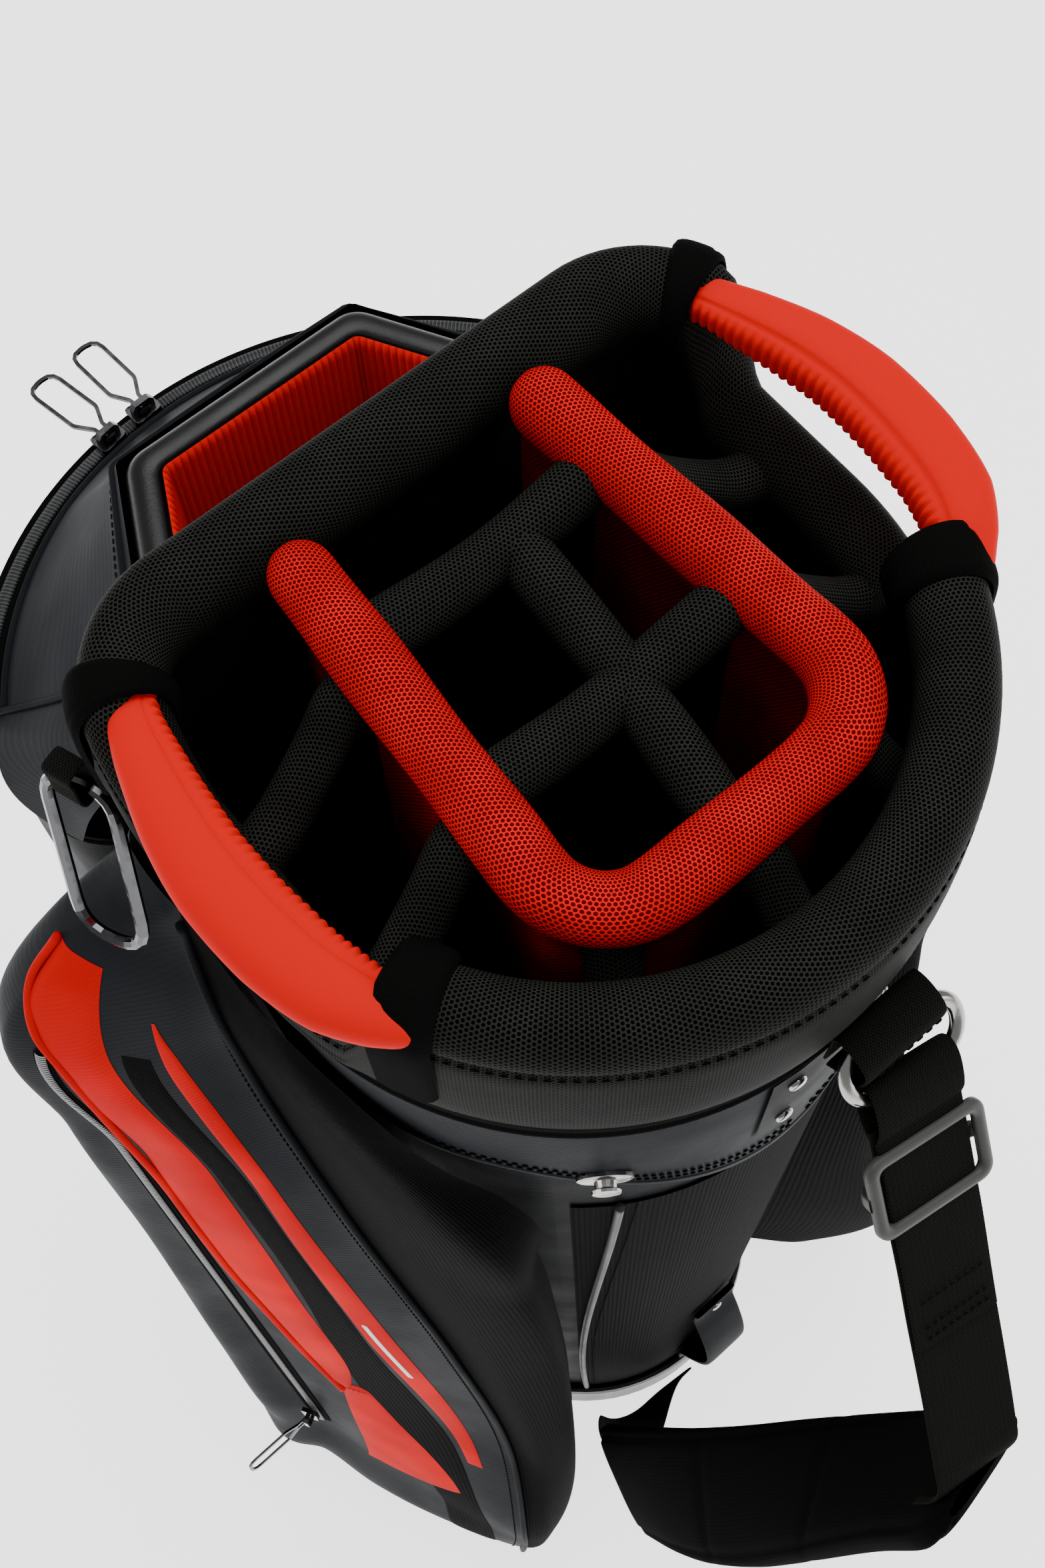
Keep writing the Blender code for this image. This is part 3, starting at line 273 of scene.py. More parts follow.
def moulded(name, colour, rough=0.42, scale=900.0, depth=0.00008, specular=0.5):
    """Moulded rubber or plastic: a fine even texture and a slow change of gloss."""
    look = Look(name, colour, rough, specular=specular)
    look.feed("Roughness", look.noise(35, 2.0).step(0.2, 0.8) * 0.12 + (rough - 0.06))
    return look.bump(look.noise(scale, 2.0), depth)


def plated(name, colour, rough=0.16):
    """Plated metal with faint handling marks."""
    look = Look(name, colour, rough, metal=1.0)
    look.feed("Roughness", look.noise(240, 4.0).step(0.35, 0.8) * 0.16 + rough * 0.8)
    return look.bump(look.noise(60, 2.0), 0.00004)


def teeth(name, pitch=0.0016):
    """Coil zip: a row of small glossy teeth, their crests painted light as a painted highlight and the gaps
    near-black as painted shade.
    """
    look = Look(name, (0.012, 0.012, 0.013), 0.32, specular=0.6)
    u, _ = look.lengths()
    row = u.wave(pitch) * 0.5 + 0.5
    # Painted highlight and shade: tooth crests light, gaps between teeth near-black.
    look.feed("Base Color", look.mix(row, (0.003, 0.003, 0.003), (0.06, 0.062, 0.066)))
    return look.bump(row, 0.0007)


MESH_BLACK = air_mesh("mesh_black", (0.0007, 0.0007, 0.0007), (0.019, 0.0205, 0.0175))
MESH_FINE = air_mesh("mesh_fine", (0.0015, 0.0015, 0.0014), (0.018, 0.0195, 0.017), 0.00105, 0.0004)
MESH_RED = air_mesh("mesh_red", (0.1, 0.0003, 0.0008), (0.62, 0.0015, 0.004))
LEATHER = leatherette("leather_black", (0.0085, 0.0092, 0.0105), 0.46)
# Black leatherette lightened to the sheen seen on the side panel: a painted-sheen copy of leather_black, used on the
# yoke, deck, shoulders and side pockets.
LEATHER_SHEEN = leatherette("leather_sheen", (0.0135, 0.0148, 0.0172), 0.46)
LEATHER_RED = leatherette("leather_red", (0.56, 0.003, 0.0045), 0.55)
WEBBING = woven("webbing", (0.0042, 0.0042, 0.0036))
BINDING = woven("binding", (0.0018, 0.0018, 0.0017), 0.0009, 0.0009, 0.8, 2.0, 0.0002)
RIBBED = ribbed_cloth("ribbed_black", (0.0012, 0.0012, 0.0011))
RUBBER_RED = moulded("rubber_red", (0.68, 0.007, 0.006), 0.5, specular=0.15)
PLASTIC = moulded("plastic_black", (0.0032, 0.0033, 0.0037), 0.4, specular=0.35)
PLASTIC_GREY = moulded("plastic_grey", (0.05, 0.05, 0.047), 0.5, specular=0.4)
METAL_DARK = plated("metal_dark", (0.09, 0.09, 0.095))
METAL_BRIGHT = plated("metal_bright", (0.34, 0.335, 0.32), 0.2)
TEETH = teeth("zip_teeth")
STITCH = moulded("thread_black", (0.006, 0.006, 0.006), 0.7, specular=0.15)
STITCH_RED = moulded("thread_red", (0.4, 0.01, 0.012), 0.55)


# ---------------------------------------------------------------- mesh and curves
# skin makes every sheet and tube here: a grid of points, with real lengths as its UVs.
def skin(name, rows, look, wrap=(False, False), body="bag", stands_for=(), pick=None):
    looks = look if isinstance(look, list) else [look]
    rows = np.asarray(rows, float) * MM
    n, m = rows.shape[:2]
    down = np.linalg.norm(np.diff(rows, axis=0, append=rows[:1]), axis=2).mean(axis=1)
    along = np.linalg.norm(np.diff(rows, axis=1, append=rows[:, :1]), axis=2).mean(axis=0)
    v_at = np.concatenate([[0], np.cumsum(down)])
    u_at = np.concatenate([[0], np.cumsum(along)])
    faces, corners, slots = [], [], []
    for i in range(n if wrap[0] else n - 1):
        for k in range(m if wrap[1] else m - 1):
            j, l = (i + 1) % n, (k + 1) % m
            faces.append((i * m + k, i * m + l, j * m + l, j * m + k))
            corners += [(u_at[k], v_at[i]), (u_at[k + 1], v_at[i]), (u_at[k + 1], v_at[i + 1]),
                (u_at[k], v_at[i + 1])]
            slots.append(pick(i, k) if pick else 0)
    mesh = bpy.data.meshes.new(name)
    mesh.from_pydata(rows.reshape(-1, 3).tolist(), [], faces)
    mesh.uv_layers.new(name="lengths").data.foreach_set("uv", np.ravel(corners))
    for one in looks:
        mesh.materials.append(one)
    mesh.polygons.foreach_set("material_index", slots)
    mesh.shade_smooth()
    mesh.update()
    piece = bpy.data.objects.new(name, mesh)
    bpy.context.scene.collection.objects.link(piece)
    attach(piece, body)
    if stands_for:
        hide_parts(*stands_for)
    return piece


def curve(points, count, closed=False):
    """Even points along a smooth curve through the given ones."""
    points = np.asarray(points, float)
    if closed:
        points = np.vstack([points[-2:], points, points[:3]])
    steps = np.linalg.norm(np.diff(points, axis=0), axis=1)
    knots = np.concatenate([[0], np.cumsum(np.sqrt(steps + 1e-9))])
    slope = np.diff(points, axis=0) / np.diff(knots)[:, None]
    tangent = np.empty_like(points)
    tangent[0], tangent[-1] = slope[0], slope[-1]
    share = (np.diff(knots)[1:] / (np.diff(knots)[1:] + np.diff(knots)[:-1]))[:, None]
    tangent[1:-1] = share * slope[:-1] + (1 - share) * slope[1:]
    at = np.linspace(0, 1, 24, endpoint=False)
    fine = []
    spans = range(2, len(points) - 3) if closed else range(len(points) - 1)
    for i in spans:
        h = knots[i + 1] - knots[i]
        for t in at:
            fine.append(
                (1 + 2 * t) * (1 - t) ** 2 * points[i] + t * (1 - t) ** 2 * h * tangent[i]
                + t * t * (3 - 2 * t) * points[i + 1] + t * t * (t - 1) * h * tangent[i + 1])
    fine.append(points[-3] if closed else points[-1])
    fine = np.array(fine)
    length = np.concatenate([[0], np.cumsum(np.linalg.norm(np.diff(fine, axis=0), axis=1))])
    where = np.linspace(0, length[-1], count + 1 if closed else count)
    even = np.stack([np.interp(where, length, fine[:, c]) for c in range(fine.shape[1])], 1)
    return even[:-1] if closed else even


def spline(knots, values, at):
    """Value of the smooth curve through values at knots. It keeps straight runs straight."""
    knots, values = np.asarray(knots, float), np.asarray(values, float)
    step = np.diff(knots)
    slope = np.diff(values, axis=0) / step[:, None]
    tangent = np.empty_like(values)
    tangent[0], tangent[-1] = slope[0], slope[-1]
    weight = (step[1:] / (step[1:] + step[:-1]))[:, None]
    tangent[1:-1] = weight * slope[:-1] + (1 - weight) * slope[1:]
    i = int(np.clip(np.searchsorted(knots, at) - 1, 0, len(step) - 1))
    t = (at - knots[i]) / step[i]
    a = (1 + 2 * t) * (1 - t) ** 2 * values[i] + t * (1 - t) ** 2 * step[i] * tangent[i]
    return a + t * t * (3 - 2 * t) * values[i + 1] + t * t * (t - 1) * step[i] * tangent[i + 1]


def unit(vector):
    return np.asarray(vector, float) / np.linalg.norm(vector)


def ease(x):
    x = min(max(x, 0.0), 1.0)
    return x * x * (3 - 2 * x)


def sweep(path, across, profile, closed=False):
    """Sections of a profile along a path: a runs along across, b outward. profile may be one per point."""
    path = np.asarray(path, float)
    across = np.asarray(across, float)
    if across.ndim == 1:
        across = np.tile(across, (len(path), 1))
    each = isinstance(profile, list) and isinstance(profile[0], list)
    rings = []
    for i, point in enumerate(path):
        if closed:
            tangent = path[(i + 1) % len(path)] - path[i - 1]
        else:
            tangent = path[min(i + 1, len(path) - 1)] - path[max(i - 1, 0)]
        out = unit(np.cross(unit(tangent), across[i]))
        side = np.cross(out, unit(tangent))
        rings.append([point + a * side + b * out for a, b in (profile[i] if each else profile)])
    return rings


def oval(width, thick, count=12):
    turns = [2 * math.pi * i / count for i in range(count)]
    return [(width / 2 * math.cos(a), thick / 2 * math.sin(a)) for a in turns]


def slab(width, thick, power=5.0, count=28):
    """Rounded flat section, such as webbing."""
    points = []
    for i in range(count):
        a = 2 * math.pi * i / count
        c, s = math.cos(a), math.sin(a)
        points.append((
            width / 2 * math.copysign(abs(c) ** (2 / power), c), thick / 2 * math.copysign(abs(s) ** (2 / power), s)))
    return points


def tube(name, path, radius, look, count=90, body="bag", closed=False, stands_for=(), rings=10):
    """A round cord or welt along a smooth path."""
    path = curve(path, count, closed)
    across = []
    side = np.array([0.31, 0.17, 0.93])
    for i in range(len(path)):
        tangent = unit(path[(i + 1) % len(path)] - path[i - 1]) if closed or 0 < i < len(path) - 1 else unit(
            path[min(i + 1, len(path) - 1)] - path[max(i - 1, 0)])
        side = unit(side - tangent * (side @ tangent))
        across.append(side)
    rows = sweep(path, across, oval(2 * radius, 2 * radius, rings), closed)
    if not closed:
        rows = [[path[0]] * rings] + rows + [[path[-1]] * rings]
    return skin(name, rows, look, (closed, True), body, stands_for)


def stitches(name, path, look, pitch=4.2, long=2.9, radius=0.42, body="bag"):
    """A row of short thread stitches along a path, as one mesh."""
    path = np.asarray(path, float)
    length = np.concatenate([[0], np.cumsum(np.linalg.norm(np.diff(path, axis=0), axis=1))])
    points, faces = [], []
    for number in range(int(length[-1] / pitch)):
        ends = [number * pitch + 0.4, number * pitch + 0.4 + long]
        a, b = [np.array([np.interp(e, length, path[:, c]) for c in range(3)]) for e in ends]
        along = unit(b - a)
        side = unit(np.cross(along, (0.3, 0.2, 1.0)))
        up = np.cross(along, side)
        base = len(points)
        for t, r in ((0, 0.3), (0.2, 1), (0.8, 1), (1, 0.3)):
            for k in range(6):
                turn = math.pi * k / 3
                points.append(a + (b - a) * t + radius * r * (side * math.cos(turn) + up * math.sin(turn)))
        for i in range(3):
            for k in range(6):
                m = (k + 1) % 6
                faces.append((base + i * 6 + k, base + i * 6 + m, base + i * 6 + 6 + m, base + i * 6 + 6 + k))
    mesh = bpy.data.meshes.new(name)
    mesh.from_pydata((np.array(points) * MM).tolist(), [], faces)
    mesh.materials.append(look)
    mesh.shade_smooth()
    piece = bpy.data.objects.new(name, mesh)
    bpy.context.scene.collection.objects.link(piece)
    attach(piece, body)
    return piece


# ---------------------------------------------------------------- the bag's plan
# Every wall piece is drawn on the same D-shaped plan, which tapers a little from collar to base.
RIM_Z = 878.0
RIM_FALL = 0.0743
COLLAR_PLAN = (129.0, -15.0, 118.0, 50.0)
BASE_PLAN = (113.0, 2.0, 112.0, 102.0)
SKIRT = 72.0


def outline(radius, centre, front, corner, fine=2):
    half = []
    for i in range(18 * fine + 1):
        a = math.radians(5 * i / fine)
        half.append((radius * math.sin(a), centre + radius * math.cos(a)))
    for i in range(1, 7 * fine + 1):
        half.append((radius, centre + (-front + corner - centre) * i / (7 * fine)))
    for i in range(1, 8 * fine + 1):
        a = math.radians(11.25 * i / fine)
        half.append((radius - corner + corner * math.cos(a), -front + corner - corner * math.sin(a)))
    for i in range(1, 5 * fine + 1):
        half.append(((radius - corner) * (1 - i / (5 * fine)), -front))
    return np.array(half + [(-x, y) for x, y in half[-2:0:-1]])


def plan(z, inward=0.0, fine=2):
    t = min(max(z / 800.0, 0.0), 1.0)
    radius, centre, front, corner = [a + (b - a) * t for a, b in zip(BASE_PLAN, COLLAR_PLAN)]
    return outline(radius - inward, centre, front - inward, corner - inward, fine)


def wall_point(z, index, inward):
    ring = plan(z, inward, 1)
    low = int(index)
    return ring[low] + (ring[low + 1] - ring[low]) * (index - low)


def wall_at(degrees, z, inward):
    x, y = wall_point(z, abs(degrees) / 5.0, inward)
    return np.array([math.copysign(x, degrees) if degrees else 0.0, y, z])


def rim(y):
    return RIM_Z - RIM_FALL * y


def notch(x, y):
    if abs(x) < 70:
        return 0.0
    return 41.0 * ease((y + 80) / 20) * ease((38 - y) / 17)


def collar_height(x, y, h):
    top = rim(y) - notch(x, y)
    if h >= -26:
        return top + h
    f = (-26 - h) / (SKIRT - 26)
    return (top - 26) * (1 - f) + (rim(y) - SKIRT) * f


def collar_ring(inward, h):
    loop = outline(*[v - s * inward for v, s in zip(COLLAR_PLAN, (1, 0, 1, 1))])
    return [(x, y, collar_height(x, y, h)) for x, y in loop]


def skirt_ring(drop, inward):
    loop = outline(*[v - s * inward for v, s in zip(COLLAR_PLAN, (1, 0, 1, 1))])
    return [(x, y, rim(y) - drop) for x, y in loop]


# ---------------------------------------------------------------- collar
# The padded roll of mesh round the top: a finer mesh outside, below a sewn seam, then the fat roll.
PAD_SECTION = [
    (1.6, -72), (0.5, -62), (0.1, -48), (0.4, -32), (1.2, -20.5), (2.6, -17.0), (3.0, -16.0), (1.7, -13.5),
    (2.6, -7.5),
    (7.0, -1.6), (14, 0.3), (21.4, -2.4), (26.2, -9), (27.0, -18), (24.4, -27), (20.6, -38), (19.4, -56), (19.0, -72),
]
section = curve(PAD_SECTION, 64)
seam_row = int(np.argmin(np.abs(section[:, 1] + 16.2) + section[:, 0]))
pad = skin(
    "padded_collar", [collar_ring(d, h) for d, h in section], [MESH_BLACK, MESH_FINE], (False, True),
    stands_for=("collar_pad",), pick=lambda i, k: int(i < seam_row))
stitches("collar_seam_stitches", collar_ring(1.4, -18.6), STITCH, 4.0, 2.6, 0.35)

# The woven binding under the roll, with a cord along each edge.
BAND_SECTION = [
    (72.2, 6.6), (72.0, 4.6), (73.2, 3.3), (75.2, 3.4), (76.4, 4.1), (82, 3.5), (88, 4.1), (89.2, 3.4), (91.2, 3.4),
    (92.0, 4.8), (92.0, 6.8),
]
skin(
    "binding_tape", [skirt_ring(drop, inward) for drop, inward in curve(BAND_SECTION, 34)], BINDING, (False, True),
    stands_for=("binding_band",))

# The yoke: a leatherette band whose lower edge dips at the spine, with a rolled edge and two rows of stitches.
def yoke_low(x, y):
    return 662 + 62 * ease(abs(math.degrees(math.atan2(x, y + 15))) / 55)


def yoke_ring(share, lift):
    ring = []
    for index, (x, y) in enumerate(outline(*[v - s * 5.4 for v, s in zip(COLLAR_PLAN, (1, 0, 1, 1))])):
        high = rim(y) - SKIRT - 20.3
        z = high + (yoke_low(x, y) - high) * share
        px, py = plan(z, 5.4 - lift)[index]
        ring.append((px, py, z))
    return ring


shares = [(0, 0), (0.1, 0.2), (0.3, 0.3), (0.5, 0.3), (0.7, 0.3), (0.9, 0.3), (0.965, 0.9), (0.985, 0.9),
    (1.0, 0.0), (1.0, -2)]
skin(
    "leather_yoke", [yoke_ring(s, r) for s, r in curve(shares, 40)], LEATHER_SHEEN, (False, True),
    stands_for=("yoke_band",))
for number, share in enumerate((0.90, 0.84)):
    stitches("yoke_stitches_%d" % number, yoke_ring(share, 0.7), STITCH, 3.6, 2.5, 0.4)


# ---------------------------------------------------------------- handles
# Moulded red grips over the two notches: a smooth crowned top, a raised line, and a toothed inner edge.
GRIP_PATH = [
    (107.0, -86), (111.6, -77.5), (115.2, -68), (118.4, -56), (121.4, -42), (123.6, -26), (123.8, -10),
    (122.4, 6), (119.6, 20), (115.2, 31), (110.0, 39.5), (105.0, 45.5),
]
GRIP_HALF = [(-91, 6.4), (-76, 7.2), (-63, 9), (-41, 11.2), (-20, 12.6), (4, 13.0), (24, 12.2), (36, 10),
    (46, 7.4), (54, 6.2)]
GRIP_SECTION = [
    (-1.0, -0.55), (-1.03, -0.1), (-1.0, 0.32), (-0.86, 0.62), (-0.70, 0.74), (-0.62, 0.70), (-0.56, 0.86),
    (-0.3, 0.98),
    (0.1, 1.02), (0.5, 0.95), (0.8, 0.72), (0.97, 0.28), (0.99, -0.15), (0.86, -0.6), (0.5, -0.85), (0, -0.95),
    (-0.5, -0.9),
    (-0.86, -0.78),
]
TOOTH_PITCH = 3.6


def grip(side, word):
    path = curve(GRIP_PATH, 230)
    halves = np.interp(path[:, 1], *zip(*GRIP_HALF))
    shape = curve(GRIP_SECTION, 48, closed=True)
    step = np.linalg.norm(np.diff(path, axis=0), axis=1).mean()
    rows = []
    for i, (x, y) in enumerate(path):
        along = unit(path[min(i + 1, 229)] - path[max(i - 1, 0)])
        out = np.array([along[1], -along[0]])
        shift = 0.0 if side > 0 else 2.4 * ease((halves[i] - 8) / 5)
        middle = rim(y) - 8.5 + 3.0 * math.cos((y + 15) / 50)
        tooth = abs(math.sin(math.pi * i * step / TOOTH_PITCH)) ** 0.7 * 1.7 - 0.7
        ring = []
        for a, b in shape:
            reach = a * halves[i]
            if a < -0.8 and b > -0.7:
                reach -= tooth * ease((-0.8 - a) / 0.12)
            px, py = x + (reach + shift) * out[0], y + (reach + shift) * out[1]
            ring.append((px * side, py, middle + b * (5.6 + 2.6 * ease((halves[i] - 7) / 4))))
        rows.append(ring)
    skin("grip_" + word, rows, RUBBER_RED, (False, True), stands_for=("handle_" + word,))


# Soft cuffs of binding cloth saddle the roll where each grip goes in.
CUFF_SECTION = [
    (-0.4, -52), (-0.6, -34), (-0.4, -18), (1.2, -8), (6, -1.4), (14, 0.8), (22, -1.8), (27.2, -8.6), (28.1, -18),
    (25.2, -28), (21.4, -39), (20.6, -50),
]


def cuff(side, word, place):
    section_points = curve(CUFF_SECTION, 60)
    rows = []
    for j in range(15):
        t = j / 14
        puff = 0.1 + 2.5 * (1 - abs(2 * t - 1) ** 5) ** 0.6 - 0.5 * math.exp(-((t - 0.2) / 0.06) ** 2)
        row = []
        for i, (d, h) in enumerate(section_points):
            before, after = section_points[max(i - 1, 0)], section_points[min(i + 1, 59)]
            along = unit(after - before)
            d2, h2 = d - along[1] * puff, h + along[0] * puff
            if place == "rear":
                a = math.radians(67.0 - 9.0 * t)
                r = COLLAR_PLAN[0] - d2
                x, y = r * math.sin(a), COLLAR_PLAN[1] + r * math.cos(a)
            else:
                a = math.radians(17 + 21 * t)
                r = COLLAR_PLAN[3] - d2
                x = COLLAR_PLAN[0] - COLLAR_PLAN[3] + r * math.cos(a)
                y = -COLLAR_PLAN[2] + COLLAR_PLAN[3] - r * math.sin(a)
            row.append((x * side, y, rim(y) + h2))
        rows.append(row)
    skin("binding_cuff_%s_%s" % (word, place), rows, BINDING, stands_for=("cuff_%s_%s" % (word, place),))


for side, word in ((1, "left"), (-1, "right")):
    grip(side, word)
    for place in ("front", "rear"):
        cuff(side, word, place)


# ---------------------------------------------------------------- dividers
# Cloth walls with a fat padded mesh roll on top. The rolls swell between their ends and sag a little.
def divider(name, path, crest, look, roll=9.0, wall=4.5, nose=(False, False)):
    count = max(24, int(np.linalg.norm(np.diff(path, axis=0), axis=1).sum() / 2.2))
    line = curve(np.column_stack([path, crest]), count)
    total = np.linalg.norm(np.diff(line, axis=0), axis=1).sum()
    rows = []
    for i, point in enumerate(line):
        along = unit((line[min(i + 1, count - 1)] - line[max(i - 1, 0)])[:2])
        across = np.array([along[1], -along[0]])
        r, w = roll + 0.35 * math.sin(i * 0.21 + len(name)), wall / 2
        for end, here in ((nose[0], i), (nose[1], count - 1 - i)):
            gone = here / (count - 1) * total
            if end and gone < roll:
                r *= math.sqrt(max(1 - (1 - gone / roll) ** 2, 0.02))
                w *= max(gone / roll, 0.2)
        delta = math.asin(min(w / r, 0.95))
        centre = point[2] - roll
        ring = [(*(point[:2] + across * w), z) for z in (14.0, 250, 500, 700, centre - roll - 26)]
        for k in range(25):
            a = delta * 1.15 + (2 * math.pi - 2.3 * delta) * k / 24
            stretch = 1.16 if math.cos(a) > 0 else 1.0
            ring.append((*(point[:2] + across * r * math.sin(a)), centre - r * stretch * math.cos(a)))
        ring += [(*(point[:2] - across * w), z) for z in (centre - roll - 26, 700, 500, 250, 14.0)]
        rows.append(ring)
    node = name.replace("padded_", "")
    piece = skin(name, rows, look, stands_for=(node,))


arm = [(51.5 + 0.0742 * (y + 20), y) for y in (-91, -76, -60, -44, -28, -12, 4, 20, 33)]
bend = [(30.5 + 25 * math.cos(math.radians(a)), 34.5 + 25 * math.sin(math.radians(a))) for a in (15, 33, 51, 70, 90)]
half = arm + bend + [(15, 59.9)]
path = half + [(0, 60.0)] + [(-x, y) for x, y in reversed(half)]
divider("padded_divider_u", path, [rim(y) + 3.2 for _, y in path], MESH_RED, 11.0, 6.0, (True, True))
for word, y in (("front", -55.0), ("rear", 4.0)):
    reach = 51.5 + 0.0742 * (y + 20)
    line = [(reach * t, y) for t in (-0.9, -0.7, -0.4, -0.1, 0.1, 0.4, 0.7, 0.9)]
    top = [rim(y) - 2 - 7 * (1 - (x / reach) ** 2) for x, _ in line]
    divider("padded_divider_cross_" + word, line, top, MESH_BLACK, 9.4)
line = [(-12.2, -52), (-11, -40), (-10, -25), (-9, -10), (-8.2, 1)]
divider("padded_divider_long_front", line, [rim(y) - 9.5 for _, y in line], MESH_BLACK, 9.2)
line = [(-5.8, 7), (-5, 18), (-3, 32), (-1, 46), (0, 56)]
divider("padded_divider_long_rear", line, [rim(y) - 8.5 for _, y in line], MESH_BLACK, 9.2)
SPOKES = [
    ((49.3, -49), (106, -40.4), 26, 44), ((53.5, 7), (106, 17.8), 26, 44), ((46, 54), (61, 77.8), 4, 34),
    ((0, 62), (0, 98), 4, 34), ((-46, 54), (-61, 77.8), 4, 34), ((-53.5, 7), (-106, 17.8), 26, 44),
    ((-49.3, -49), (-106, -40.4), 26, 44),
]
for number, (start, end, high, low) in enumerate(SPOKES, 1):
    start, end = np.array(start, float), np.array(end, float)
    line = [start + (end - start) * t for t in (0.06, 0.25, 0.4, 0.6, 0.8, 1.0)]
    top = []
    for t, p in zip((0, 0.2, 0.4, 0.6, 0.8, 1.0), line):
        fall = ease(t / 0.9) * (low - 8) + 8 if high < 20 else 10 + 38 * ease(t)
        top.append(rim(p[1]) - fall)
    divider("padded_divider_outer_%d" % number, line, top, MESH_BLACK, 9.2)


# ---------------------------------------------------------------- putter well
# A bevelled black rim with a red lining of upright ribs, over a plain dark sock.
WELL_CORNERS = [(-50.0, -190.0), (50.0, -190.0), (84.0, -126.0), (-84.0, -126.0)]


def well_loop(inset, radius, steps=9):
    moved = []
    for i in range(4):
        here, before, after = (np.array(WELL_CORNERS[k % 4]) for k in (i, i - 1, i + 1))
        a, b = unit(here - before), unit(after - here)
        bisector = np.array([-a[1], a[0]]) + np.array([-b[1], b[0]])
        moved.append(here + bisector * inset / (bisector @ np.array([-a[1], a[0]])))
    points = []
    for i, corner in enumerate(moved):
        a, b = unit(moved[i - 1] - corner), unit(moved[(i + 1) % 4] - corner)
        reach = radius / math.tan(math.acos(float(a @ b)) / 2)
        for k in range(steps + 1):
            t = k / steps
            start, end = corner + a * reach, corner + b * reach
            points.append((1 - t) ** 2 * start + 2 * t * (1 - t) * corner + t * t * end)
    return np.array(points)


def even_loop(loop, count):
    closed = np.vstack([loop, loop[:1]])
    length = np.concatenate([[0], np.cumsum(np.linalg.norm(np.diff(closed, axis=0), axis=1))])
    at = np.linspace(0, length[-1], count, endpoint=False)
    return np.stack([np.interp(at, length, closed[:, c]) for c in (0, 1)], 1), length[-1]


RIM_SECTION = [(0.4, 806), (-0.8, 809), (-1.2, 813), (-0.4, 817.5), (2.0, 821.4), (5.2, 823), (9.4, 822.9),
    (11.5, 821.6), (12.2, 816), (12.2, 807)]
rows = []
for inset, z in curve(RIM_SECTION, 36):
    rows.append([(x, y, z) for x, y in even_loop(well_loop(inset, max(12 - inset * 0.5, 4)), 240)[0]])
skin("well_frame", rows, PLASTIC, (False, True), stands_for=("well_rim",))
loop, around = even_loop(well_loop(12.6, 5), 1120)
ribs = round(around / 2.9)
rows = []
for z, deep in ((822.6, 0.0), (821.8, 1.4), (819, 2.2), (800, 2.4), (780, 2.4), (763, 2.3), (761.5, 1.0)):
    ring = []
    for i, (x, y) in enumerate(loop):
        along = unit(loop[(i + 1) % 1120] - loop[i - 1])
        crest = abs(math.cos(math.pi * ribs * i / 1120)) ** 0.8
        inward = 0.3 + deep * (0.35 + 0.65 * crest)
        ring.append((x - along[1] * inward, y + along[0] * inward, z))
    rows.append(ring)
skin("well_ribs", rows, RUBBER_RED, (False, True), stands_for=("well_liner",))


# ---------------------------------------------------------------- front pocket
# The leatherette deck slopes from the well to a rainbow zip; below the zip hangs the big pocket.
ARC = (-110.0, 161.0, 722.0, 57.0)


def deck_edge(t):
    corners = np.array([(-90.0, -121.0), (-52.0, -192.6), (52.0, -192.6), (90.0, -121.0)])
    length = np.concatenate([[0], np.cumsum(np.linalg.norm(np.diff(corners, axis=0), axis=1))])
    return np.array([np.interp(t * length[-1], length, corners[:, c]) for c in (0, 1)])


def arc_point(turn, radius, z):
    return np.array([radius * math.sin(turn), ARC[0] - radius * math.cos(turn), z])


columns = []
for i in range(121):
    turn = math.radians(-ARC[3] + 2 * ARC[3] * i / 120)
    outer = arc_point(turn, ARC[1] - 6.5, 0)[:2]
    near = deck_edge(i / 120)
    stops = [(0.0, 818), (0.24, 793), (0.64, 757), (1.0, 727.5)]
    columns.append(curve([(*(near * (1 - t) + outer * t), z) for t, z in stops], 30))
skin("front_deck_cover", np.swapaxes(np.array(columns), 0, 1), LEATHER_SHEEN, stands_for=("front_deck",))
columns = np.array(columns)
tube("deck_welt_upper", columns[:, 2] + np.array([0, 0, 0.6]), 1.5, LEATHER, 130)
tube("deck_welt_lower", columns[:, 28] + np.array([0, 0, 0.6]), 1.6, LEATHER, 130)
stitches("deck_stitches", columns[:, 4] + np.array([0, 0, 0.35]), STITCH, 3.4, 2.3, 0.35)
arc = [arc_point(math.radians(-ARC[3] + 2 * ARC[3] * i / 160), ARC[1], ARC[2] + 2.2) for i in range(161)]
skin("front_zip_tape", sweep(arc, (0, 0, 1), [(b, a) for a, b in slab(11.4, 2.6)]), BINDING, (False, True),
    stands_for=("front_zip",))
skin("front_zip_teeth", np.swapaxes(np.array(sweep(arc, (0, 0, 1),
    [(1.4 + 0.9 * math.sin(math.pi * k / 8), 2.6 * math.cos(math.pi * k / 8)) for k in range(9)])), 0, 1), TEETH)
# Soft shoulders close the sides between the deck, the pocket and the bag's wall, with a small red insert.
def shoulder(side, s, t, lift=0.0):
    near = columns[-1][int(round(t * 29))]
    wall = curve([(117.5, -97, 806), (124, -108, 784), (131, -122, 752), (136, -134, 718)], 30)[int(round(t * 29))]
    bulge = math.sin(math.pi * s) * (2 + 11 * t)
    p = near * (1 - s) + wall * s + np.array([0.93, -0.2, 0.3]) * (bulge + lift)
    return p * np.array([side, 1, 1])


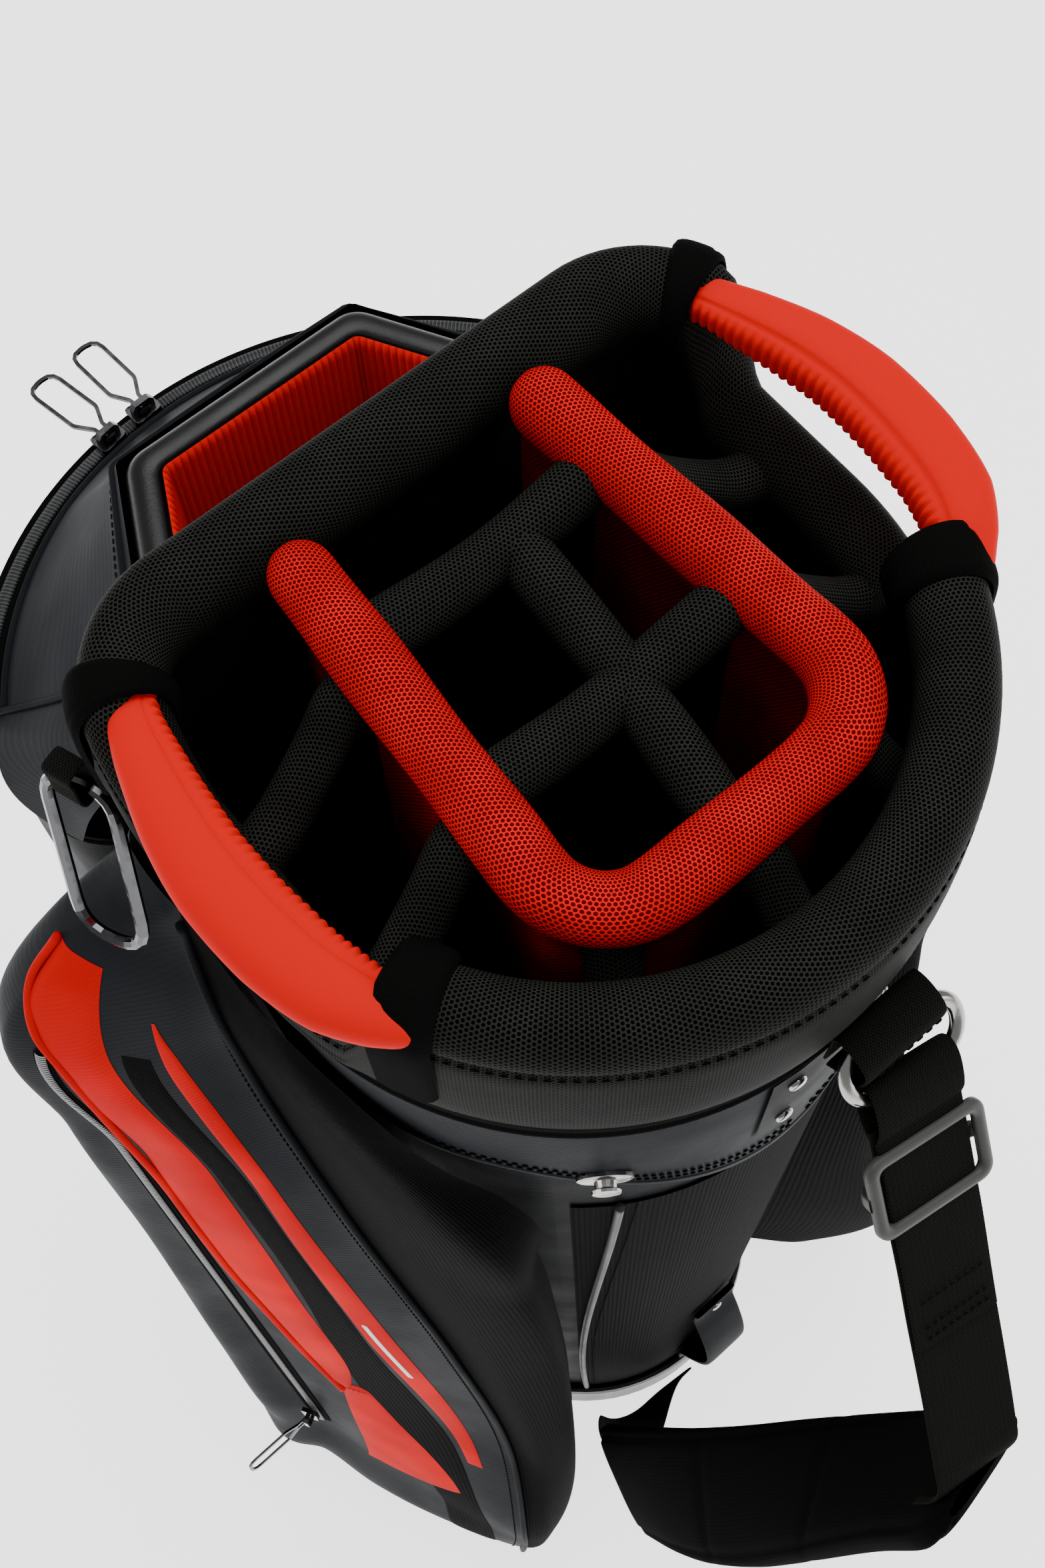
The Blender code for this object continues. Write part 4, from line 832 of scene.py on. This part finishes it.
for side, word in ((1, "left"), (-1, "right")):
    rows = [[shoulder(side, s, t) for s in np.linspace(0, 1, 24)] for t in np.linspace(0, 1, 30)]
    skin("front_shoulder_" + word, rows, LEATHER_SHEEN)
    tube("front_shoulder_welt_" + word, [shoulder(side, 0.0, t, 0.6) for t in np.linspace(0, 1, 30)], 1.6,
        LEATHER, 60)
rows = [[shoulder(1, s, t, 1.2) for s in np.linspace(0.3, 0.85, 14)] for t in np.linspace(0.0, 0.21, 7)]
skin("red_insert", rows, LEATHER_RED)
FRONT_Z = [722.0, 640.0, 500.0, 320.0, 150.0, 62.0]
FRONT_COLUMNS = [
    [(134, -134), (139, -164), (134.5, -198.5), (101.3, -235.1), (55, -261.3), (0, -271)],
    [(134, -134), (140, -164), (137, -200), (104, -238), (56, -266), (0, -276)],
    [(133, -134), (139, -162), (136, -198), (103, -238), (56, -265), (0, -275)],
    [(128, -132), (133, -158), (129, -190), (98, -228), (53, -254), (0, -264)],
    [(122, -130), (124, -150), (117, -176), (88, -210), (48, -232), (0, -240)],
    [(108, -122), (108, -138), (101, -158), (76, -184), (40, -202), (0, -208)],
]


def front_surface(u, z):
    level = [spline(FRONT_Z[::-1], [FRONT_COLUMNS[::-1][k][c] for k in range(6)], z) for c in range(6)]
    level = [wall_point(z, 30.0, -1.2)] + level
    level = level + [np.array([-p[0], p[1]]) for p in level[-2::-1]]
    x, y = spline(range(13), level, u)
    return np.array([x, y, z])


rows = [[front_surface(u, z) for u in np.linspace(0, 12, 97)] for z in np.linspace(720, 62, 60)]
skin("front_pocket_cover", rows, LEATHER, stands_for=("front_pocket",))
tube("front_pocket_welt_top", [front_surface(u, 716) + np.array([0, -1, 0]) for u in np.linspace(0.3, 11.7, 60)],
    1.6, LEATHER, 140)
for word, u in (("left", 3.0), ("right", 9.0)):
    tube("front_pocket_welt_" + word, [front_surface(u, z) for z in np.linspace(712, 70, 30)], 1.7, LEATHER, 120)


# ---------------------------------------------------------------- side pockets
# Garment pockets on both sides. u runs from the gusset's root at the spine side (0) over the piped
# edge (3) and the flat face to the zip line (6) and round to the front root (9).
ZIP_HIGH = (190.0, -90.0, 705.0)
ZIP_LOW = (212.0, -2.5, 205.0)
SIDE_Z = [790.0, 768.0, 740.0, 700.0, 600.0, 450.0, 300.0, 170.0, 85.0, 50.0]
SIDE_COLUMNS = [
    [(129.3, -44), (129.8, -50), (130.2, -57), (130.6, -63), (130.8, -69), (130.6, -75), (130, -81), (128.5, -87)],
    [(130.5, -28), (131.5, -42), (133, -54), (137, -63), (141, -72), (143, -81), (142, -91), (136, -99)],
    [(131, 10), (136, -18), (138, -42), (149, -56), (158, -70), (165, -84), (167, -96), (156, -110)],
    [(120, 58), (134, 20), (140, -31), None, None, None, (196, -105), (176, -122)],
    [(111, 85), (131, 54), (142, 8), None, None, None, (207, -94), (187, -124)],
    [(107, 103), (128, 90), (139, 63), None, None, None, (216, -78), (193, -120)],
    [(110, 114), (132, 118), (142, 101), None, None, None, (228, -48), (200, -114)],
    [(116, 124), (144, 140), (164, 134), None, None, None, (236, -26), (204, -106)],
    [(114, 118), (141, 132), (160, 126), (188, 86), (208, 44), (219, 8), (232, -24), (200, -102)],
    [(104, 106), (122, 114), (136, 107), (158, 76), (176, 38), (188, 4), (200, -24), (170, -92)],
]
REAR_ROOT = [22.0, 19.0, 13.6, 10.4, 9.6, 9.2, 9.0, 9.0, 9.0, 9.0]


def side_table():
    table = []
    for z, row, root in zip(SIDE_Z, SIDE_COLUMNS, REAR_ROOT):
        row = list(row)
        if row[3] is None:
            t = (z - ZIP_LOW[2]) / (ZIP_HIGH[2] - ZIP_LOW[2])
            edge = np.array(row[2], float)
            line = np.array([a + (b - a) * t for a, b in zip(ZIP_LOW[:2], ZIP_HIGH[:2])])
            along = line - edge
            out = np.array([-along[1], along[0]]) / np.linalg.norm(along)
            row[3], row[4], row[5] = edge + 0.36 * along + 3.0 * out, edge + 0.70 * along + 2.5 * out, line
        table.append([wall_point(z, root, -1.2)] + [np.array(p, float) for p in row] + [wall_point(z, 28.0, -1.2)])
    return table


SIDE_TABLE = side_table()


def side_grid():
    """The pocket's surface as a fine grid over z (rows, 3 mm) and u (columns, 0.05)."""
    grid = []
    for z in np.arange(50.0, 791.0, 4.0):
        level = [spline(SIDE_Z[::-1], [SIDE_TABLE[9 - k][c] for k in range(10)], z) for c in range(10)]
        grid.append([[*spline(range(10), level, u), z] for u in np.linspace(0, 9, 181)])
    return np.array(grid)


SIDE_GRID = side_grid()


def side_surface(u, z, lift=0.0, side=1):
    """Point of a side pocket, raised outward by lift."""
    column, row = min(max(u * 20.0, 0.0), 179.999), min(max((z - 50.0) / 4.0, 0.0), 184.999)
    i, k = int(row), int(column)
    f, g = row - i, column - k
    a, b, c, d = SIDE_GRID[i, k], SIDE_GRID[i, k + 1], SIDE_GRID[i + 1, k], SIDE_GRID[i + 1, k + 1]
    p = (1 - f) * ((1 - g) * a + g * b) + f * ((1 - g) * c + g * d)
    if lift:
        normal = np.cross((c - a) * (1 - g) + (d - b) * g, (b - a) * (1 - f) + (d - c) * f)
        p = p + normal / np.linalg.norm(normal) * (lift if normal[0] > 0 else -lift)
    return p * np.array([side, 1, 1])


def panel(name, edges, look, side=1, lift=0.9, count=(110, 14)):
    """A puffed panel between two edges, each a list of (u, z) from top to bottom."""
    left, right = (curve(np.array(e, float) * (100, 1), count[0]) / (100, 1) for e in edges)
    rows = []
    for i, (a, b) in enumerate(zip(left, right)):
        ends = min(i, count[0] - 1 - i) / 4
        row = []
        for k in range(count[1]):
            t = k / (count[1] - 1)
            puff = min(1.0, ends) * (1 - abs(2 * t - 1) ** 4)
            u, z = a + (b - a) * t
            row.append(side_surface(u, z, 0.15 + lift * puff, side))
        rows.append(row)
    return skin(name, rows, look), rows


heights = list(np.linspace(790, 740, 16)) + list(np.linspace(734, 50, 84))
for side, word in ((1, "left"), (-1, "right")):
    rows = [[side_surface(u, z, 0, side) for u in np.linspace(3.0, 9, 90)] for z in heights]
    skin(word + "_pocket_cover", rows, LEATHER_SHEEN, stands_for=(word + "_pocket",))
    rows = [[side_surface(u, z, 0.05, side) for u in np.linspace(0, 3.0, 50)] for z in heights]
    for row, z in zip(rows, heights):
        for k in range(50):
            fold = 1.5 * math.sin(k / 49 * 9 + z / 90) * math.sin(math.pi * k / 49) * ease((760 - z) / 80)
            row[k] = row[k] - fold * unit((row[k][0], row[k][1] + 20, 0))
    skin(word + "_gusset_cover", rows, RIBBED, stands_for=(word + "_gusset",))
    tube(word + "_edge_welt", [side_surface(3.0, z, 1.2, side) for z in np.linspace(782, 60, 60)], 1.8, LEATHER, 200,
         stands_for=("left_piping",) if side == 1 else ())
    stitches(word + "_edge_stitches", [side_surface(3.16, z, 0.3, side) for z in np.linspace(770, 66, 160)],
        STITCH, 3.6, 2.4, 0.35)
    zip_line = [side_surface(6.0, z, 1.2, side) for z in np.linspace(690, 184, 120)]
    rows = [[side_surface(u, z, 0.3 + 0.7 * (1 - abs(u - 6) * 4.6), side)
             for u in np.linspace(5.84, 6.16, 9)] for z in np.linspace(690, 184, 120)]
    skin(word + "_zip_tape", rows, BINDING, stands_for=(word + "_zip",))
    across = [unit(side_surface(6.1, z, 0, side) - side_surface(5.9, z, 0, side)) for z in np.linspace(690, 184, 120)]
    bead = [(2.3 * math.cos(math.pi * k / 8), 1.0 * math.sin(math.pi * k / 8)) for k in range(9)]
    strip = np.array(sweep(zip_line, across, bead if side < 0 else [(a, -b) for a, b in bead]))
    skin(word + "_zip_teeth", np.swapaxes(strip, 0, 1), TEETH)

# The +X pocket's panels: a long red one beside the zip, a red slash, a dark band between, a lower red one.
RED_OUTER = [
    (7.1, 744), (6.9, 724), (6.2, 704), (5.66, 684), (5.58, 640), (5.62, 574), (5.62, 514), (5.58, 469), (5.46, 427),
    (5.28, 364), (5.0, 308)]
piece, rows = panel(
    "red_panel", [
        RED_OUTER,
        [(5.5, 744), (5.0, 706), (4.72, 670), (4.6, 637), (4.6, 574), (4.65, 514), (4.7, 469), (4.7, 427),
            (4.68, 364), (4.9, 306)]],
    LEATHER_RED, lift=2.2)
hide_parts("left_red_panel")
tube("red_panel_welt", [side_surface(u, z, 1.5) for u, z in RED_OUTER], 1.7, LEATHER_RED, 160)
panel("red_slash", [
    [(4.26, 724), (4.12, 700), (4.0, 670), (4.02, 600), (4.08, 535), (4.08, 469), (4.04, 421), (3.88, 361),
        (3.7, 300), (3.62, 262)],
    [(4.2, 724), (3.88, 700), (3.74, 670), (3.74, 600), (3.74, 535), (3.72, 469), (3.66, 421), (3.58, 361),
        (3.5, 300), (3.46, 262)]],
    LEATHER_RED, lift=0.5)
panel("dark_band", [
    [(4.72, 700), (4.58, 655), (4.52, 607), (4.52, 532), (4.62, 454), (4.72, 390), (4.72, 330), (4.5, 260),
        (4.2, 190), (3.9, 120), (3.7, 80)],
    [(4.3, 700), (4.14, 655), (4.08, 607), (4.12, 532), (4.12, 454), (4.08, 400), (3.92, 340), (3.74, 280),
        (3.6, 200), (3.4, 130), (3.3, 80)]],
    RIBBED, lift=0.5)
piece, rows = panel("lower_red_panel", [
    [(4.98, 318), (5.08, 285), (5.16, 245), (5.2, 200), (5.24, 160)],
    [(4.6, 325), (4.36, 285), (3.98, 250), (3.78, 228), (3.68, 208)]],
    LEATHER_RED, lift=1.2)
stitches("lower_panel_stitches", np.array(rows)[4], STITCH_RED, 3.4, 2.3, 0.4)
panel("silver_strip", [[(3.98, 462), (3.95, 440), (3.9, 415), (3.84, 388)],
    [(3.9, 462), (3.87, 440), (3.82, 415), (3.76, 388)]], METAL_BRIGHT, lift=0.9)


# ---------------------------------------------------------------- spine side
# Woven back panel with welts, the strap's leather plate with two rivets, and the grab handle.
rows = [[wall_at(a, z, 6.7) for a in np.linspace(-42, 42, 61)] for z in np.linspace(656, 54, 60)]
skin("spine_cloth", rows, RIBBED, stands_for=("spine_panel",))
for word, low_turn, high_turn in (("left", 40, 33), ("right", -40, -33)):
    turns = [(low_turn + (high_turn - low_turn) * ease(t) + math.copysign(3, low_turn) * math.sin(math.pi * t),
        54 + 602 * t) for t in np.linspace(0, 1, 40)]
    tube("spine_welt_" + word, [wall_at(a, z, 5.8) for a, z in turns], 1.9, PLASTIC_GREY, 140)
    stitches("spine_stitches_" + word, [wall_at(a - math.copysign(3.2, a), z, 6.2) for a, z in turns], STITCH,
        3.8, 2.6, 0.35)
rows = [[wall_at(a, z, 3.9) for a in np.linspace(-24, 10, 30)] for z in np.linspace(772, 700, 30)]
skin("strap_plate", rows, LEATHER, stands_for=("chape_plate",))


def dome(name, foot, out, radius, tall, look, body="bag", stands_for=(), stem=0.0):
    """Turned cap: a snap stud's head or a rivet."""
    side = unit(np.cross(out, (0.1, 0.2, 0.97)))
    up = np.cross(out, side)
    outline_points = [(0.0, 1.0), (0.25, 1.0), (0.55, 0.92), (0.85, 0.66), (0.97, 0.3), (1.0, 0.02)]
    rows = []
    for lift, size in outline_points:
        ring = []
        for k in range(28):
            a = 2 * math.pi * k / 28
            ring.append(foot + out * (stem + lift * tall) + radius * size * (side * math.cos(a) + up * math.sin(a)))
        rows.append(ring)
    return skin(name, rows, look, (False, True), body, stands_for)


for number, (turn, z) in enumerate(((5.5, 757), (5.5, 716), (-24, 757), (-24, 716))):
    out = np.array([math.sin(math.radians(turn)), math.cos(math.radians(turn)), 0])
    dome("plate_rivet_%d" % number, wall_at(turn * 0.9, z, 3.6), out, 3.6, 1.8, METAL_BRIGHT)
for number, z in enumerate((74, 236)):
    dome("handle_rivet_%d" % number, np.array([-4.0, 113.2, z]), np.array([0, 1.0, 0]), 3.6, 1.8, METAL_BRIGHT)
handle_path = [(-4, 110.9, 66), (-4, 110.9, 82), (-4, 119, 104), (-4, 127, 130), (-4, 130, 155), (-4, 127, 180),
    (-4, 119, 206), (-4, 110.9, 228), (-4, 110.9, 244)]
skin("rear_grab_handle", sweep(curve(handle_path, 70), (1, 0, 0), slab(30, 3.8)), LEATHER, (False, True),
    stands_for=("grab_handle",))

# ---------------------------------------------------------------- strap
# A steel oval ring holds the webbing; a grey three-bar slider rides on it above the foam shoulder pad.
RING_UPPER = np.array([-14.0, 119.2, 786.0])
RING_LOWER = np.array([-14.0, 132.6, 769.0])
RUN_END = np.array([2.0, 177.0, 714.0])
run = unit(RUN_END - RING_LOWER)
run_length = np.linalg.norm(RUN_END - RING_LOWER)
across = unit(np.array([1.0, 0, 0]) - run * run[0])
over = np.cross(across, run) * (1 if np.cross(across, run)[1] > 0 else -1)
fall = RING_LOWER - RING_UPPER
height = np.linalg.norm(fall)
fall = unit(fall - across * (across @ fall))


def round_rect(half_wide, half_tall, radius, count):
    """Even points of a rounded rectangle round its middle."""
    points = []
    for cx, cy, start in ((1, 1, 0), (-1, 1, 90), (-1, -1, 180), (1, -1, 270)):
        for k in range(9):
            a = math.radians(start + 90 * k / 8)
            points.append((cx * (half_wide - radius) + radius * math.cos(a),
                cy * (half_tall - radius) + radius * math.sin(a)))
    return even_loop(np.array(points), count)[0]


loop = round_rect(23, height / 2, 10.2, 96)
ring_path = [RING_LOWER + across * a - fall * (height / 2 + b) for a, b in loop]
normal = np.cross(across, fall)
skin("oval_ring", sweep(ring_path, normal, oval(4.6, 5.6, 14), closed=True), METAL_BRIGHT, (True, True), "strap",
    ("strap_ring",))
eye = [(11, 4.6), (0, 5.0), (-4.2, 3.2), (-5.4, 0), (-4.2, -3.2), (0, -5.0), (11, -4.0)]
wrap_path = [RING_LOWER + run * a + over * b for a,
    b in [(17.6, 1.2), (15.5, 2.2)] + eye + [(15.5, -2.2), (17.6, -1.2)]]
skin("ring_wrap", sweep(curve(wrap_path, 60), across, slab(36, 1.5)), WEBBING, (False, True), "strap",
    ("strap_loop",))
chape_loop = [(111.9, 774), (112.2, 786), (113, 795.6), (119.6, 796.4), (126.4, 792), (127.4, 785), (125, 778.4),
    (119, 775.4), (113.6, 771)]
skin("hanger_loop", sweep(curve([(-14.0, a, b) for a, b in chape_loop], 60), (1, 0, 0), slab(35.4, 1.6)), WEBBING,
    (False, True), "bag", ("chape",))
stitches("hanger_stitches", [(-30, 128.4, 786), (2, 128.4, 786)], STITCH)
strap_path = [RING_LOWER + run * t for t in (12.0, 20, 30, 45, run_length)]
strap_path += [np.array(p, float) for p in ((7, 190, 697), (13, 205, 680), (19, 219, 665), (24.5, 231, 652.5),
    (27.8, 238.2, 644), (30.0, 239.6, 631), (32.4, 237.0, 616))]
skin("strap_web", sweep(curve(strap_path, 90), across, slab(38, 1.9)), WEBBING, (False, True), "strap",
    ("strap_webbing",))
# A second layer ends in a sewn box below the slider.
doubled = [RING_LOWER + run * t + over * 1.7 for t in (16, 30, 50, 66)] + [np.array((7.4, 191.6, 698.4)),
    np.array((10.5, 199.2, 689.5))]
skin("strap_second_layer", sweep(curve(doubled, 50), across, slab(36.5, 1.8)), WEBBING, (False, True), "strap")
middle = doubled[-1] + over * 1.2
for number, (start, end) in enumerate((((-15, -4), (15, -4)), ((-15, -9), (15, -9)), ((-15, -20), (15, -20)))):
    line = [middle + across * start[0] + run * start[1], middle + across * end[0] + run * end[1]]
    stitches("strap_box_stitches_%d" % number, line, STITCH, 3.2, 2.2, 0.4, "strap")

centre = RING_LOWER + run * 37.0
outer, window = round_rect(25, 16.5, 5.5, 120), round_rect(20.3, 11.8, 3.0, 120)
frame_section = [(0.0, 1.3), (0.0, 2.6), (0.05, 3.6), (0.25, 4.4), (0.5, 4.6), (0.75, 4.4), (0.95, 3.6),
    (1.0, 2.6), (1.0, 1.3), (0.5, 1.2)]
rows = []
for t, h in frame_section:
    rows.append([centre + across * a + run * b + over * h for a, b in outer * (1 - t) + window * t])
skin("three_bar_slider", rows, PLASTIC_GREY, (True, True), "strap_slider", ("tri_glide",))
bar = [centre + across * a + over * h for a, h in ((-24, 2.6), (-23, -2.4), (-20, -3.2), (0, -3.2), (20, -3.2),
    (23, -2.4), (24, 2.6))]
skin("slider_bar", sweep(curve(bar, 40), run, slab(5.4, 3.4)), PLASTIC_GREY, (False, True), "strap_slider")

PAD_PATH = [
    (28.5, 241, 640), (31.5, 239, 622), (38, 231, 580), (48, 221, 530), (60, 210, 480), (73, 198, 430),
    (86, 183, 380), (96, 166, 325), (101, 152, 270), (101.5, 147, 245),
]
TAIL_PATH = [
    (101.4, 145, 246), (100.6, 143, 236), (97, 138, 212), (86, 131, 178), (70, 126.5, 142), (52, 123.5, 112),
    (36, 121.5, 90), (26, 121, 80),
]
line = curve(PAD_PATH, 120)
turned, profiles = [], []
for i in range(120):
    t = i / 119
    a = math.radians(8 + 67 * ease(t))
    turned.append((math.cos(a), math.sin(a), 0.0))
    narrow = math.sqrt(max(0.0, 1 - max(0.0, (0.05 - t) / 0.05) ** 2)) * math.sqrt(max(0.0,
        1 - max(0.0, (t - 0.93) / 0.07) ** 2))
    crease = 1 - 0.22 * (math.exp(-((t - 0.34) / 0.012) ** 2) + math.exp(-((t - 0.63) / 0.012) ** 2))
    shape = []
    for c, s in slab(2, 2, 3.2, 44):
        groove = 1 - 0.5 * math.exp(-((abs(c) - 0.86) / 0.03) ** 2)
        shape.append((c * 31 * (0.62 + 0.38 * narrow), s * 6.6 * crease * groove * (0.3 + 0.7 * narrow)))
    profiles.append(shape)
piece = skin("foam_shoulder_pad", sweep(line, turned, profiles), BINDING, (False, True), "strap",
    ("shoulder_pad",))
turned = []
for i in range(70):
    t = ease(i / 69)
    turned.append(np.array([0.26, 0.96, 0]) * (1 - t) + np.array([-0.1, 0.1, 1]) * t)
skin("strap_lower_web", sweep(curve(TAIL_PATH, 70), turned, slab(38, 1.9)), WEBBING, (False, True), "strap",
    ("strap_tail",))

# ---------------------------------------------------------------- towel ring's loop and small hardware
# A webbing tab holds the oval ring beside the +X grip. Sliders, pulls and the ring keep their CAD shapes.
pin = np.array([132.6, -97.0, 824.0])
tab = [(-3.7, 15.4), (-3.9, 8), (-3.9, -1), (-2.6, -4.0), (0, -4.7), (2.6, -4.0), (3.9, -1), (3.9, 8),
    (3.7, 15.4), (0, 16.2)]
tab = curve([pin + np.array([0.954, 0.30, 0.0]) * a + np.array([0, 0, b]) for a, b in tab], 90, True)
skin("ring_tab", sweep(tab, (-0.30, 0.954, 0.0), slab(11, 1.3), True), WEBBING, (True, True), "bag",
    ("towel_loop",))
CAD_LOOKS = {
    "base_cup": PLASTIC, "body_tube": LEATHER, "collar_core": PLASTIC, "well_sock": RIBBED, "towel_ring": METAL_DARK,
    "rain_stud": METAL_BRIGHT, "front_slider_a": METAL_DARK, "front_slider_b": METAL_DARK, "front_pull_a": METAL_DARK,
    "front_pull_b": METAL_DARK, "left_slider": METAL_DARK, "left_pull": METAL_DARK, "right_slider": METAL_DARK,
    "right_pull": METAL_DARK,
}
for node, look in CAD_LOOKS.items():
    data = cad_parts[node].data
    data.materials.clear()
    data.materials.append(look)

# ---------------------------------------------------------------- sizes and finish
low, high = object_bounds()
